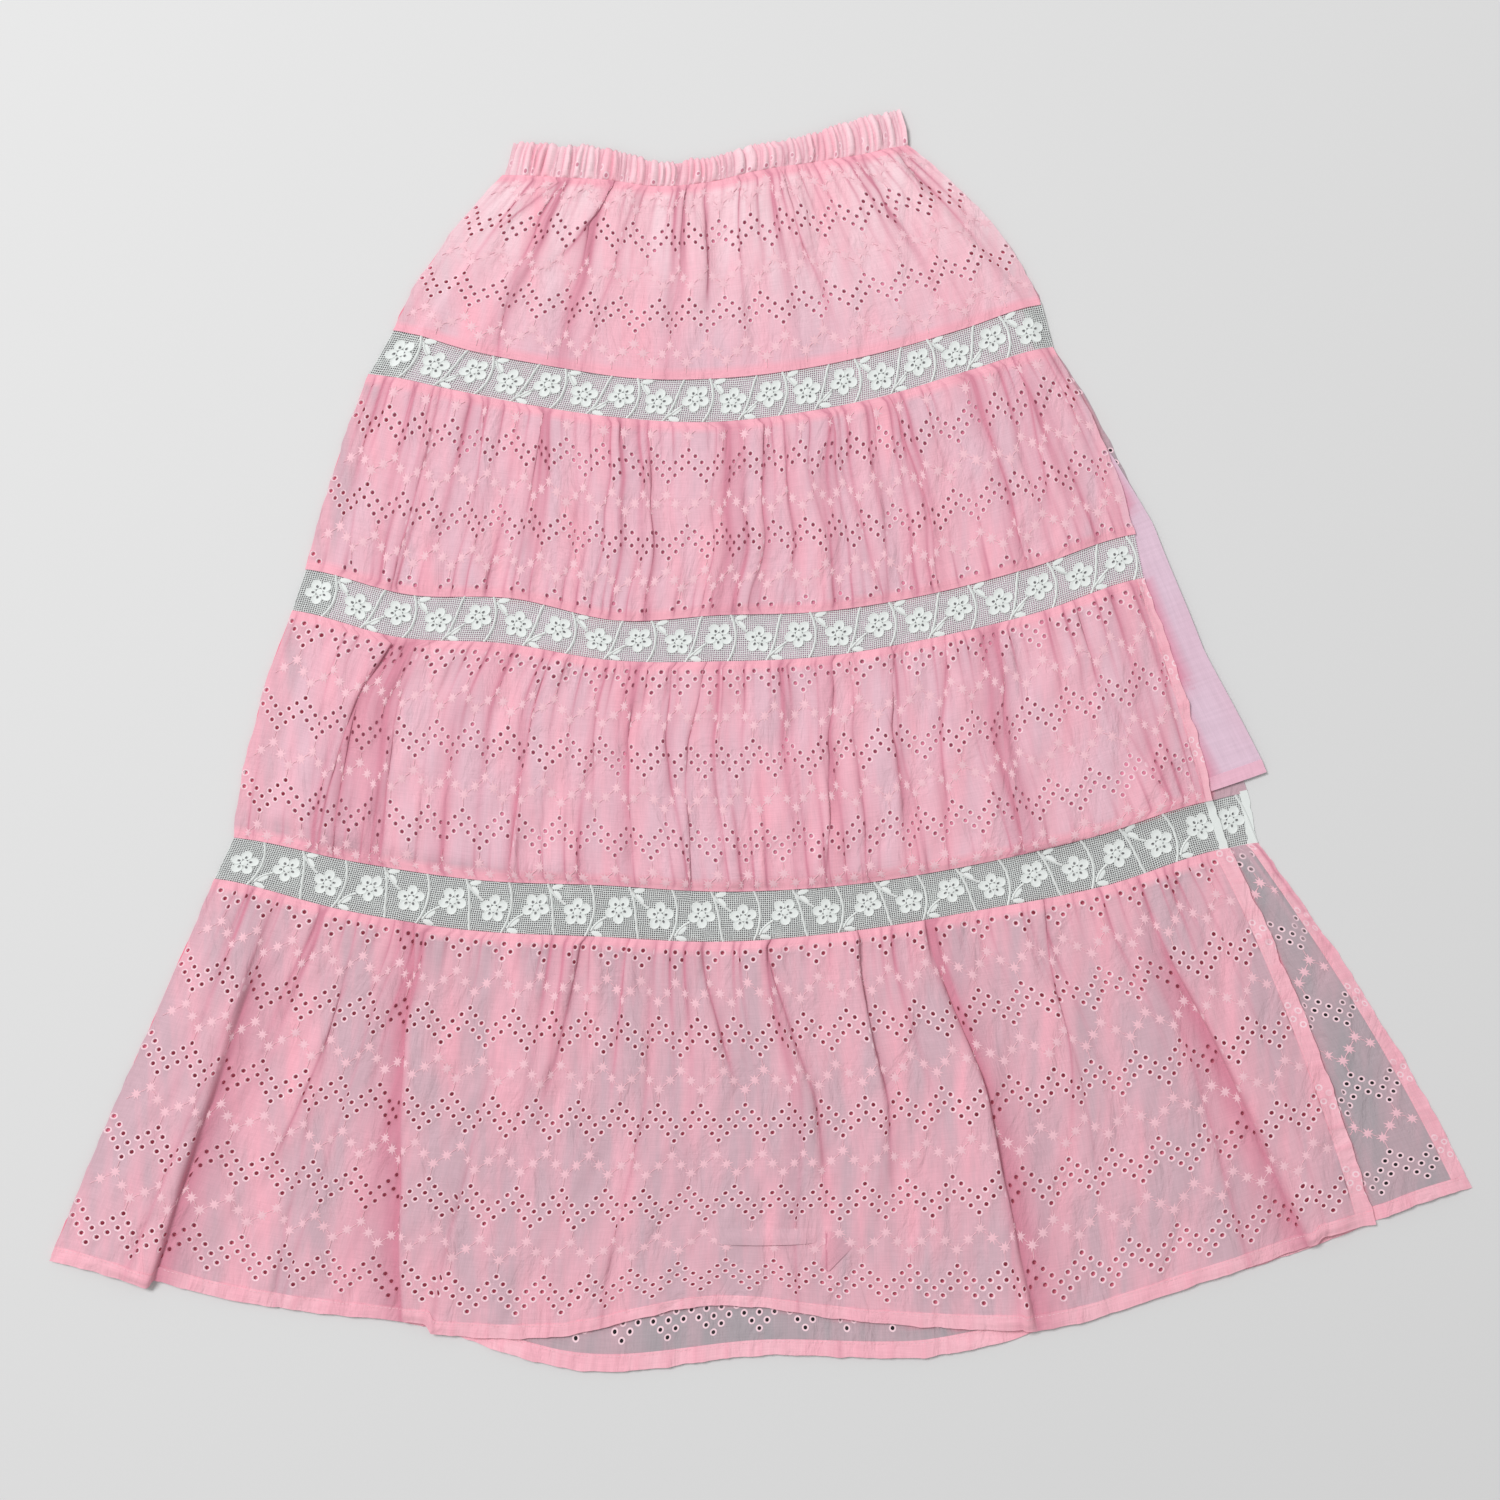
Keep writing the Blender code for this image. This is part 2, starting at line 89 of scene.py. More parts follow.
Seam = namedtuple("Seam", "left right heights")
SEAMS = {
    "waist_top": Seam(-193, 109, (465, 463, 460, 450, 453, 463, 470, 482, 490)),
    "casing": Seam(-199, 115, (440, 438, 436, 431, 434, 443, 449, 455, 463)),
    "lace_1_top": Seam(-286, 219, (319, 302, 290, 281, 281, 288, 301, 319, 339)),
    "lace_1_bottom": Seam(-305, 228, (285, 272, 259, 250, 247, 254, 267, 287, 306)),
    "lace_2_top": Seam(-354, 291, (133, 113, 110, 93, 97, 100, 113, 134, 160)),
    "lace_2_bottom": Seam(-365, 298, (101, 80, 75, 62, 61, 65, 79, 99, 126)),
    "lace_3_top": Seam(-410, 352, (-76, -95, -109, -113, -118, -113, -98, -76, -47)),
    "lace_3_bottom": Seam(-425, 365, (-108, -132, -148, -153, -157, -149, -133, -114, -84)),
    "front_hem": Seam(-555, 479, (-404, -436, -454, -464, -440, -454, -458, -420, -378)),
    "back_lace_2_top": Seam(-354, 302, (133, 113, 110, 93, 97, 100, 113, 134, 165)),
    "back_lace_2_bottom": Seam(-365, 316, (101, 80, 75, 62, 61, 65, 79, 99, 132)),
    "back_lace_3_top": Seam(-410, 380, (-76, -95, -109, -113, -118, -111, -93, -70, -41)),
    "back_lace_3_bottom": Seam(-425, 387, (-108, -133, -148, -153, -156, -147, -130, -108, -80)),
    "back_hem": Seam(-553, 555, (-402, -435, -454, -491, -479, -479, -442, -400, -349)),
}

Strip = namedtuple("Strip", "top bottom bow_left bow_right loft")
STRIPS = {
    "waistband": Strip("waist_top", "casing", 0, 2, 0.6),
    "tier_1": Strip("casing", "lace_1_top", 10, 14, 5.0),
    "lace_1": Strip("lace_1_top", "lace_1_bottom", 0, 0, 0.3),
    "tier_2": Strip("lace_1_bottom", "lace_2_top", 3, 6, 4.0),
    "lace_2": Strip("lace_2_top", "lace_2_bottom", 0, 0, 0.3),
    "tier_3": Strip("lace_2_bottom", "lace_3_top", 7, 4, 4.0),
    "lace_3": Strip("lace_3_top", "lace_3_bottom", 0, 0, 0.3),
    "tier_4": Strip("lace_3_bottom", "front_hem", 0, 8, 4.0),
    "back_tier_2": Strip("lace_1_bottom", "back_lace_2_top", 3, 6, 0),
    "back_lace_2": Strip("back_lace_2_top", "back_lace_2_bottom", 0, 0, 0),
    "back_tier_3": Strip("back_lace_2_bottom", "back_lace_3_top", 7, 2, 0),
    "back_lace_3": Strip("back_lace_3_top", "back_lace_3_bottom", 0, 0, 0),
    "back_tier_4": Strip("back_lace_3_bottom", "back_hem", 0, 10, 0),
}

# Folds: where each starts and ends across and down its strip, its half width, height and lean
# (1 is steep on the right), and how much cloth its steep side swallows. They follow the solids'
# folds, with a few values changed and one small fold more.
Fold = namedtuple("Fold", "across_from across_to down_from down_to width height lean hidden")
FOLDS = {
    "tier_1": (
        Fold(0.26, 0.18, 0.00, 0.55, 9, 4.0, 0.4, 6),
        Fold(0.10, 0.05, 0.00, 0.35, 9, 3.0, 0.3, 4),
        Fold(0.50, 0.49, 0.05, 0.70, 8, 3.5, 0.4, 6),
        Fold(0.70, 0.69, 0.00, 0.60, 8, 4.0, -0.4, 5),
        Fold(0.84, 0.80, 0.00, 0.40, 16, 4.5, 0.0, 3),
        Fold(0.94, 0.92, 0.00, 0.30, 8, 3.0, 0.4, 4),
    ),
    "tier_2": (
        Fold(0.39, 0.40, 0.10, 1.00, 8, 4.0, 0.5, 8),
        Fold(0.58, 0.58, 0.05, 0.95, 7, 3.5, 0.5, 8),
        Fold(0.76, 0.78, 0.00, 0.90, 8, 4.0, -0.5, 8),
        Fold(0.94, 0.92, 0.00, 0.90, 8, 3.5, -0.4, 7),
    ),
    "tier_3": (
        Fold(0.08, 0.07, 0.05, 0.95, 10, 4.0, 0.4, 7),
        Fold(0.32, 0.30, 0.00, 1.00, 9, 4.5, -0.4, 9),
        Fold(0.44, 0.45, 0.00, 0.75, 8, 3.0, 0.3, 7),
        Fold(0.48, 0.46, 0.00, 1.00, 7, 3.5, 0.4, 7),
        Fold(0.63, 0.60, 0.00, 1.00, 8, 3.5, 0.3, 7),
        Fold(0.70, 0.69, 0.00, 0.95, 9, 5.5, 0.5, 10),
        Fold(0.78, 0.75, 0.00, 0.95, 12, 4.5, -0.5, 8),
        Fold(0.91, 0.91, 0.00, 0.40, 8, 3.0, 0.3, 5),
    ),
    "tier_4": (
        Fold(0.055, 0.075, 0.05, 1.00, 26, 9.0, 0.7, 14),
        Fold(0.145, 0.135, 0.14, 0.70, 7, 1.6, 0.3, 5),
        Fold(0.21, 0.285, 0.00, 1.00, 17, 6.5, -0.6, 12),
        Fold(0.36, 0.34, 0.00, 0.45, 9, 4.0, 0.3, 6),
        Fold(0.42, 0.41, 0.00, 0.45, 9, 3.5, -0.3, 5),
        Fold(0.48, 0.50, 0.00, 0.45, 9, 4.0, 0.3, 6),
        Fold(0.545, 0.58, 0.00, 0.80, 13, 5.0, 0.3, 6),
        Fold(0.63, 0.63, 0.00, 0.75, 10, 5.0, 0.4, 7),
        Fold(0.70, 0.735, 0.00, 1.00, 15, 6.5, 0.5, 11),
        Fold(0.81, 0.77, 0.00, 0.60, 14, 4.0, 0.0, 4),
        Fold(0.915, 0.955, 0.05, 1.00, 24, 8.0, -0.7, 13),
    ),
}

Level = namedtuple("Level", "left_x left_y right_x right_y sag")
LINING_LEVELS = [
    Level(-176, 427, 99, 449, 18),
    Level(-258, 319, 203, 336, 46),
    Level(-277, 285, 213, 303, 48),
    Level(-303, 205, 275, 220, 52),
    Level(-326, 133, 306, 168, 56),
    Level(-350, 45, 345, 70, 60),
    Level(-371, -46, 390, -15, 62),
    Level(-373, -56, 394, -25, 62),
]

# The eyelet chart: cells across and down a repeat, and the cell row of each column's upper eyelet
REPEAT_ACROSS = 6
REPEAT_DOWN = 12
EYELET_ROWS = (0, 1, 2, 3, 2, 1)
SECOND_EYELET = 2       # a second eyelet lies this many cells below each

# Stars of the chart, in cells, and the stems that join them to the eyelets
STARS = ((3.5, 7.6), (2.0, 9.0), (5.0, 9.0), (6.5, 10.3))
STEMS = (
    (3.5, 6.1, 3.5, 7.0), (3.0, 8.1, 2.5, 8.5), (4.0, 8.1, 4.5, 8.5),
    (1.5, 9.45, 1.0, 9.9), (5.5, 9.45, 6.0, 9.9), (6.5, 10.9, 6.5, 12.0),
)

# A tier's flat cloth: its strip, repeats across, a repeat's width, a cell's height, the chart's
# first row, gathers at its top and bottom seams, its long soft folds, its seed, and its cut. The
# cut, where given, is the flat cloth's height with its hem, and more than the laid height.
Tier = namedtuple("Tier", "strip repeats repeat_width cell_height first_row top bottom lines seed cut",
                  defaults=(None,))
FRONT_TIERS = {
    "tier_1": Tier("tier_1", 17, 30.4, 4.94, 6, 50, 0, 10, 11),
    "tier_2": Tier("tier_2", 25, 33.5, 4.90, 8, 62, 56, 16, 12),
    "tier_3": Tier("tier_3", 29, 35.0, 5.50, 1, 72, 64, 16, 13),
    "tier_4": Tier("tier_4", 29, 36.0, 5.76, 2, 88, 0, 12, 14, 317),
}
BACK_TIERS = {
    "tier_1": Tier("tier_1", 17, 30.4, 4.94, 6, 40, 0, 4, 21),
    "tier_2": Tier("back_tier_2", 25, 33.5, 4.90, 8, 50, 40, 12, 22),
    "tier_3": Tier("back_tier_3", 29, 35.0, 5.50, 1, 56, 50, 14, 23),
    "tier_4": Tier("back_tier_4", 31, 36.0, 5.76, 2, 70, 0, 10, 24, 317),
}
CELL = 0.006            # a chart cell's size on the cloths' UV map, in metres


def mix(low, high, share):
    return low + (high - low) * share


def smooth_step(value):
    value = np.clip(value, 0.0, 1.0)
    return value * value * (3.0 - 2.0 * value)


def seam_height(heights, across):
    """Heights of a seam line, read from a smooth curve through its stations."""
    heights = np.asarray(heights, float)
    place = np.clip(across, 0.0, 1.0) * STATIONS
    index = np.minimum(place.astype(int), STATIONS - 1)
    share = place - index
    before = heights[np.maximum(index - 1, 0)]
    start = heights[index]
    end = heights[index + 1]
    after = heights[np.minimum(index + 2, STATIONS)]
    slope_in = (end - before) / 2.0
    slope_out = (after - start) / 2.0
    cube, square = share ** 3, share ** 2
    return (
        (2 * cube - 3 * square + 1) * start
        + (cube - 2 * square + share) * slope_in
        + (3 * square - 2 * cube) * end
        + (cube - square) * slope_out
    )


def seam_point(name, across):
    seam = SEAMS[name]
    return mix(seam.left, seam.right, across), seam_height(seam.heights, across)


def seam_y(name, x):
    """Height of a seam line at a place across the skirt."""
    seam = SEAMS[name]
    return seam_height(seam.heights, np.clip((x - seam.left) / (seam.right - seam.left), 0.0, 1.0))


def strip_point(strip, across, down):
    """Points of a strip, from its left side to its right and from its top seam to its bottom."""
    top_x, top_y = seam_point(strip.top, across)
    bottom_x, bottom_y = seam_point(strip.bottom, across)
    bow = strip.bow_right * across - strip.bow_left * (1.0 - across)
    x = mix(top_x, bottom_x, down) + bow * 4.0 * down * (1.0 - down)
    return x, mix(top_y, bottom_y, down)


def right_side(names, steps, y):
    """Where the right side of some strips, each below the one before, lies at a height."""
    share = np.linspace(0.0, 1.0, steps)
    sides = [strip_point(STRIPS[name], np.ones(steps), share) for name in names]
    side_x, side_y = np.concatenate(sides, axis=1)
    return np.interp(y, side_y[::-1], side_x[::-1])


def strip_size(strip):
    """Mean width and height of a strip."""
    top, bottom = SEAMS[strip.top], SEAMS[strip.bottom]
    width = (top.right - top.left + bottom.right - bottom.left) / 2.0
    middle = np.array([0.5])
    _, top_y = seam_point(strip.top, middle)
    _, bottom_y = seam_point(strip.bottom, middle)
    return width, float(top_y[0] - bottom_y[0])


def strip_width(strip, down):
    """World width of a strip at a share of its height."""
    top, bottom = SEAMS[strip.top], SEAMS[strip.bottom]
    return mix(top.right - top.left, bottom.right - bottom.left, down)


def lining_point(across, down):
    """Points of the lining: down is 0 at its top level and 1 at its hem."""
    levels = np.array(LINING_LEVELS, float)
    place = np.clip(down, 0.0, 1.0) * (len(levels) - 1)
    index = np.minimum(place.astype(int), len(levels) - 2)
    share = (place - index)[..., None]
    left_x, left_y, right_x, right_y, sag = np.moveaxis(
        mix(levels[index], levels[index + 1], share), -1, 0
    )
    y = mix(left_y, right_y, across) - sag * 4.0 * across * (1.0 - across)
    return mix(left_x, right_x, across), y


def lining_cover(x, y):
    """1 where the front lies on the lining, 0 clear of it, and smooth in between."""
    levels = np.array(LINING_LEVELS[::-1], float)
    left = np.interp(y, levels[:, 1], levels[:, 0])
    right = np.interp(y, levels[:, 3], levels[:, 2])
    across = np.clip((x - left) / (right - left), 0.0, 1.0)
    _, top = lining_point(across, np.zeros_like(across))
    _, bottom = lining_point(across, np.ones_like(across))
    cover = np.ones_like(across)
    for inside in (x - left, right - x, top - y, y - bottom):
        cover = cover * smooth_step((inside + COVER_REACH) / COVER_RUN)
    return cover


# Gathers and folds of one flat cloth

GATHER_BAND = 6.0       # the cloth is pressed flat this far from a gathered seam
GATHER_GROUP = 9        # so many gathers beside each other swallow their even share of the cloth
GATHER_REACH = 6.0      # a gather's least reach
REACH_OF_SIZE = 7.5     # it reaches this much further for each millimetre that it swallows
REACH_BY_CHANCE = 14.0
CASING_REACH = 90.0     # the casing's gathers run through it
LARGE_FOLD = 10.5       # a fold that swallows more cloth than this gets a broad painted shade beside it
LARGE_SHADE = 15.0      # its shade is full up to here
LARGE_SHADE_FADE = 12.0
STEEP = 1.6             # how sharply the cloth turns under at a crease
LINE_TINT = 1.25        # depth of the colour on a crease's own line: the deeper pink of doubled cloth, with painted shade
LINE_WIDTH = 0.65       # its half width, as a share of the crease's
SIDE_WAVE = 9.0         # the sides waver, and the cloth beside them this far in

# Where a crease starts: at the top seam, at the bottom seam, or on its own down the cloth
TOP_SEAM, BOTTOM_SEAM, LENGTHWISE = range(3)

Crease = namedtuple("Crease", "start end width hidden depth seam reach tint side down_from down_to")


def seam_creases(rng, width, count, hidden, seam, long_reach):
    """Small gathers that start at one seam, of uneven size and reach."""
    if count == 0:
        return []
    jitter = rng.uniform(-0.38, 0.38, count)
    places = (np.arange(count) + 0.5 + jitter) / count * width
    share = rng.lognormal(0.0, 0.3 if long_reach else 1.0, count)
    group = np.arange(count) // GATHER_GROUP
    share = share / np.bincount(group, share)[group] * np.bincount(group)[group] / count * hidden
    creases = []
    for place, part in zip(places, share):
        reach = GATHER_REACH + REACH_OF_SIZE * part + rng.uniform(0.0, REACH_BY_CHANCE) + long_reach
        drift = rng.normal(0.0, 1.2)
        width_here = max(2.3, part * 0.85)
        depth = min(0.3 + 0.22 * part, 1.6)
        tint = min(0.32 + 0.19 * part, 1.1)
        side = 1.0 if rng.random() < 0.5 else -1.0
        creases.append(Crease(place, place + drift, width_here, part, depth, seam, reach, tint,
                              side, 0.0, 1.0))
    return creases


def long_creases(rng, width, count):
    """Long soft folds that run down much of a tier, each of its own length."""
    creases = []
    for index in range(count):
        place = (index + 0.5 + rng.uniform(-0.35, 0.35)) / count * width
        middle = rng.uniform(0.25, 0.75)
        half = rng.uniform(0.4, 0.95)
        hidden = rng.uniform(2.0, 6.5)
        down_from = max(middle - half, 0.0)
        down_to = min(middle + half, 1.0)
        creases.append(Crease(place, place + rng.normal(0.0, 14.0), max(3.4, hidden * 1.1), hidden,
                              0.2 + 0.12 * hidden, LENGTHWISE, 0.0, min(0.04 + 0.06 * hidden, 0.4),
                              rng.choice((-1.0, 1.0)), down_from, down_to))
    return creases


def fold_creases(name, width, strip):
    """The sharp line at the steep foot of each listed fold."""
    world, _ = strip_size(strip)
    creases = []
    for fold in FOLDS.get(name, ()):
        side = 1.0 if fold.lean >= 0.0 else -1.0
        foot = fold.width * (1.0 - abs(fold.lean)) * 1.15 * side / world
        creases.append(Crease((fold.across_from + foot) * width, (fold.across_to + foot) * width,
                              max(3.6, fold.hidden * 0.85), fold.hidden, 0.25 + 0.07 * fold.hidden,
                              LENGTHWISE, 0.0, 0.8, side, fold.down_from, fold.down_to))
    return creases


def crease_strength(crease, down, height):
    """How strong a crease is down the cloth."""
    if crease.seam == LENGTHWISE:
        span = max(crease.down_to - crease.down_from, 1e-6)
        share = (down - crease.down_from) / span
        fade_in = 1.0 if crease.down_from <= 0.0 else smooth_step(share * 3.5)
        fade_out = 1.0 if crease.down_to >= 1.0 else smooth_step((1.0 - share) * 2.5)
        inside = (share >= 0.0) & (share <= 1.0)
        waver = 0.85 + 0.15 * np.sin(share * 7.0 + crease.start * 0.13)
        return np.where(inside, fade_in * fade_out * waver, 0.0)
    distance = (down if crease.seam == TOP_SEAM else 1.0 - down) * height
    rise = 0.45 + 0.55 * smooth_step(distance / GATHER_BAND)
    return rise * np.exp(-np.maximum(distance - GATHER_BAND, 0.0) / crease.reach)


def crease_shade(crease, beyond):
    """The painted shade at a distance beyond a crease, on its steep side, where doubled cloth also deepens
    the pink.
    """
    if crease.seam == LENGTHWISE and crease.hidden >= LARGE_FOLD:
        fading = np.exp(-np.maximum(beyond - LARGE_SHADE, 0.0) / LARGE_SHADE_FADE)
        return 1.05 * smooth_step(beyond / 3.5) * fading
    under = (beyond - 0.7 * crease.hidden) / (0.8 * crease.hidden + 0.6)
    return 0.3 * np.exp(-under ** 4) * min(crease.hidden / 4.0, 1.0)


def ripple(flat, level, seed):
    """A low uneven swell of the cloth, the same each run."""
    rng = np.random.default_rng(seed)
    swell = np.zeros_like(flat)
    for size, wave in ((0.55, 70.0), (0.45, 46.0), (0.34, 31.0), (0.2, 19.0), (0.12, 11.0)):
        for _ in range(2):
            angle = rng.normal(0.0, 0.5)
            phase = rng.uniform(0.0, 2.0 * math.pi)
            wave_here = wave * rng.uniform(0.8, 1.25)
            along = (flat * math.cos(angle) + level * math.sin(angle)) / wave_here
            swell += size * np.sin(along * 2.0 * math.pi + phase)
    return swell


# Where the two sides of a fold of the flounce end at unequal heights: the place across at the hem,
# millimetres that the right side hangs lower, and how far across the difference fades
HEM_STEPS = ((0.078, -8.0, 90.0), (0.287, 8.0, 80.0), (0.735, 3.0, 60.0), (0.957, -4.0, 50.0))


class Gathered:
    """A flat cloth gathered into its strip of the skirt: it turns flat places into laid ones."""

    def __init__(self, name, tier, slit_hem, front):
        self.name, self.tier, self.front = name, tier, front
        self.strip = STRIPS[tier.strip]
        self.world, self.height = strip_size(self.strip)
        self.cloth = tier.repeats * tier.repeat_width
        self.cut = tier.cut or self.height
        self.width = self.cloth + slit_hem
        rng = np.random.default_rng(tier.seed)
        lines = long_creases(rng, self.width, tier.lines)
        if front:
            lines += fold_creases(name, self.width, self.strip)
        self.creases = list(lines)
        long_reach = CASING_REACH if name == "waistband" else 0.0
        for seam, down, count in ((TOP_SEAM, 0.0, tier.top), (BOTTOM_SEAM, 1.0, tier.bottom)):
            at_seam = sum(
                c.hidden * float(crease_strength(c, np.array(down), self.height)) for c in lines
            )
            spare = max(self.width - strip_width(self.strip, down) - at_seam, 10.0)
            self.creases += seam_creases(rng, self.width, count, spare, seam, long_reach)

    def lay(self, flat, down):
        """Laid x, y and z in millimetres, and how deep the crease colour is there: doubled cloth and
        painted shade.
        """
        moved = flat.copy()
        total = np.zeros_like(flat)
        relief = np.zeros_like(flat)
        tint = np.zeros_like(flat)
        for crease in self.creases:
            strength = crease_strength(crease, down, self.height)
            share = (down - crease.down_from) / max(crease.down_to - crease.down_from, 1e-6)
            place = mix(crease.start, crease.end, np.clip(share, 0.0, 1.0))
            offset = (flat - place) / crease.width
            hidden = crease.hidden * strength
            moved -= hidden * 0.5 * (1.0 + np.tanh(STEEP * offset))
            total += hidden
            groove = np.exp(-offset ** 2)
            shoulder = np.exp(-(offset / 3.0) ** 2)
            lean = crease.side * offset * np.exp(-(offset / 2.2) ** 2)
            relief += crease.depth * strength * (0.85 * shoulder - 0.7 * groove - 0.35 * lean)
            # The crease colour: the deeper pink of cloth doubled in the crease, with painted shade on its
            # line and beside its steep side
            tint += LINE_TINT * crease.tint * strength * np.exp(-(offset / LINE_WIDTH) ** 2)
            beyond = offset * crease.side * crease.width
            tint += crease.tint * strength * crease_shade(crease, beyond)
        across = moved / (self.width - total)
        x, y = strip_point(self.strip, across, down)
        beside = 1.0 - smooth_step(np.minimum(across, 1.0 - across) * self.world / SIDE_WAVE)
        x = x + beside * (0.6 * ripple(flat * 0.1, down * self.height, self.tier.seed + 50)
                          + 0.5 * ripple(flat * 0.1, down * self.height * 3.1, self.tier.seed + 51))
        if self.name == "tier_4" and self.front:
            for place, drop, fade in HEM_STEPS:
                beside = (across - place) * self.world
                step = 0.5 * drop * np.tanh(beside / 1.5) * np.exp(-np.abs(beside) / fade)
                y = y - step * smooth_step(down) ** 2
        z = self.rise(flat, down, x, y, across, relief)
        return x, y, z, np.clip(tint, 0.0, 1.2)

    def down_at(self, flat, level):
        """Share of the way down the tier.

        Where it is laid shorter than cut, its lower part is pushed up."""
        if self.tier.cut is None:
            return level / self.height
        across = np.clip(flat / self.width, 0.0, 1.0)
        top_x, top_y = seam_point(self.strip.top, across)
        low_x, low_y = seam_point(self.strip.bottom, across)
        laid = np.hypot(top_x - low_x, top_y - low_y) / self.cut
        share = level / self.cut
        return (share - (1.0 - laid) * share ** 3) / laid

    def rise(self, flat, down, x, y, across, relief):
        """Height of the laid cloth's underside."""
        side = smooth_step(np.minimum(across, 1.0 - across) * self.world / EDGE_RUN)
        swell = ripple(flat, down * self.height, self.tier.seed + 100)
        if not self.front:
            return BACK_REST + side * np.clip(0.35 * relief + 0.25 * swell, 0.0, BACK_SWELL)
        rest = FRONT_Z + OVER_LINING * lining_cover(x, y) + CLOTH_OVER_LACE
        folded = np.zeros_like(flat)
        for fold in FOLDS.get(self.name, ()):
            folded += self.fold_height(fold, flat / self.width, down)
        loft = self.strip.loft * 0.25 * np.sin(np.pi * down)
        low_folds, relief = (0.6, relief) if self.name == "tier_4" else (0.28, 0.7 * relief)
        small = ripple(flat * 1.9, down * self.height * 2.2, self.tier.seed + 101)
        from_seam = np.minimum(down, 1.0 - down) * self.height
        swell = swell * (0.15 + 0.55 * smooth_step(from_seam / SWELL_RUN))
        lifted = loft + folded * low_folds + relief + FRONT_LOFT + swell + 0.16 * small
        lifted = lifted * mix(0.5, 1.0, smooth_step(from_seam / GATHER_BAND))
        return rest + side * np.maximum(lifted, 0.0)

    def fold_height(self, fold, across, down):
        """Height that one fold adds: its two sides are unequally steep."""
        share = (down - fold.down_from) / (fold.down_to - fold.down_from)
        offset = (across - mix(fold.across_from, fold.across_to, share)) * self.world
        reach = fold.width * np.where(offset < 0.0, 1.0 + fold.lean, 1.0 - fold.lean)
        fade_in = 1.0 if fold.down_from == 0.0 else smooth_step(share * 4.0)
        fade_out = 1.0 if fold.down_to == 1.0 else smooth_step((1.0 - share) * 3.0)
        inside = (share >= 0.0) & (share <= 1.0)
        height = fold.height * np.exp(-((offset / reach) ** 2)) * fade_in * fade_out
        return np.where(inside, height, 0.0)


# Meshes

WALL = 0.5              # thickness of a tier's shell
NET_WALL = 0.25
LINING_WALL = 0.3
LINING_HEM_WALL = 0.7
FOLDED_WALL = 0.4
TURNED_WALL = 0.8
CREST = 0.35            # an eyelet's stitched rim stands this proud
EYELET_RADIUS = 1.6     # in a cell of the flounce
CREST_RADIUS = 2.25
COLUMNS_PER_CELL = 3    # of a cloth with eyelets
EYELET_SIDES = 8
SHARP = math.radians(62.0)
EMBROIDERY_SHARP = math.radians(50.0)


def add_object(name, data):
    made = bpy.data.objects.new(name, data)
    bpy.context.scene.collection.objects.link(made)
    return made


def build_mesh(name, points, quads, uv, marks, material):
    """A mesh object from whole arrays: points in millimetres, and one value of each mark a point."""
    mesh = bpy.data.meshes.new(name)
    world = np.array(points, float)
    world[:, 1] -= MIDDLE_Y
    corners = np.asarray(quads, np.int32).ravel()
    starts = np.arange(0, len(corners), 4, dtype=np.int32)
    mesh.vertices.add(len(world))
    mesh.vertices.foreach_set("co", (world * MM).astype(np.float32).ravel())
    mesh.loops.add(len(corners))
    mesh.loops.foreach_set("vertex_index", corners)
    mesh.polygons.add(len(starts))
    mesh.polygons.foreach_set("loop_start", starts)
    mesh.update(calc_edges=True)
    mesh.validate()
    layer = mesh.uv_layers.new(name="Cloth")
    layer.data.foreach_set("uv", np.asarray(uv, np.float32)[corners].ravel())
    for mark, values in marks.items():
        attribute = mesh.attributes.new(mark, "FLOAT", "POINT")
        attribute.data.foreach_set("value", np.asarray(values, np.float32))
    mesh.materials.append(material)
    mesh.shade_smooth()
    mesh.set_sharp_from_angle(angle=SHARP)
    return add_object(name, mesh)


def eyelet_cells(tier, columns, rows):
    """Which cells of a tier's chart hold an eyelet: rows of cells by columns of cells."""
    column = np.arange(columns) % REPEAT_ACROSS
    upper = np.array(EYELET_ROWS)[column]
    row = (np.arange(rows)[:, None] + tier.first_row) % REPEAT_DOWN
    holed = (row == upper) | (row == upper + SECOND_EYELET)
    holed[[0, -1], :] = False
    return holed


def ring_angles(sides):
    """Angles round an eyelet, clockwise from the upper left."""
    step = 2.0 * math.pi / sides
    return math.pi - step / 2.0 - step * np.arange(sides)


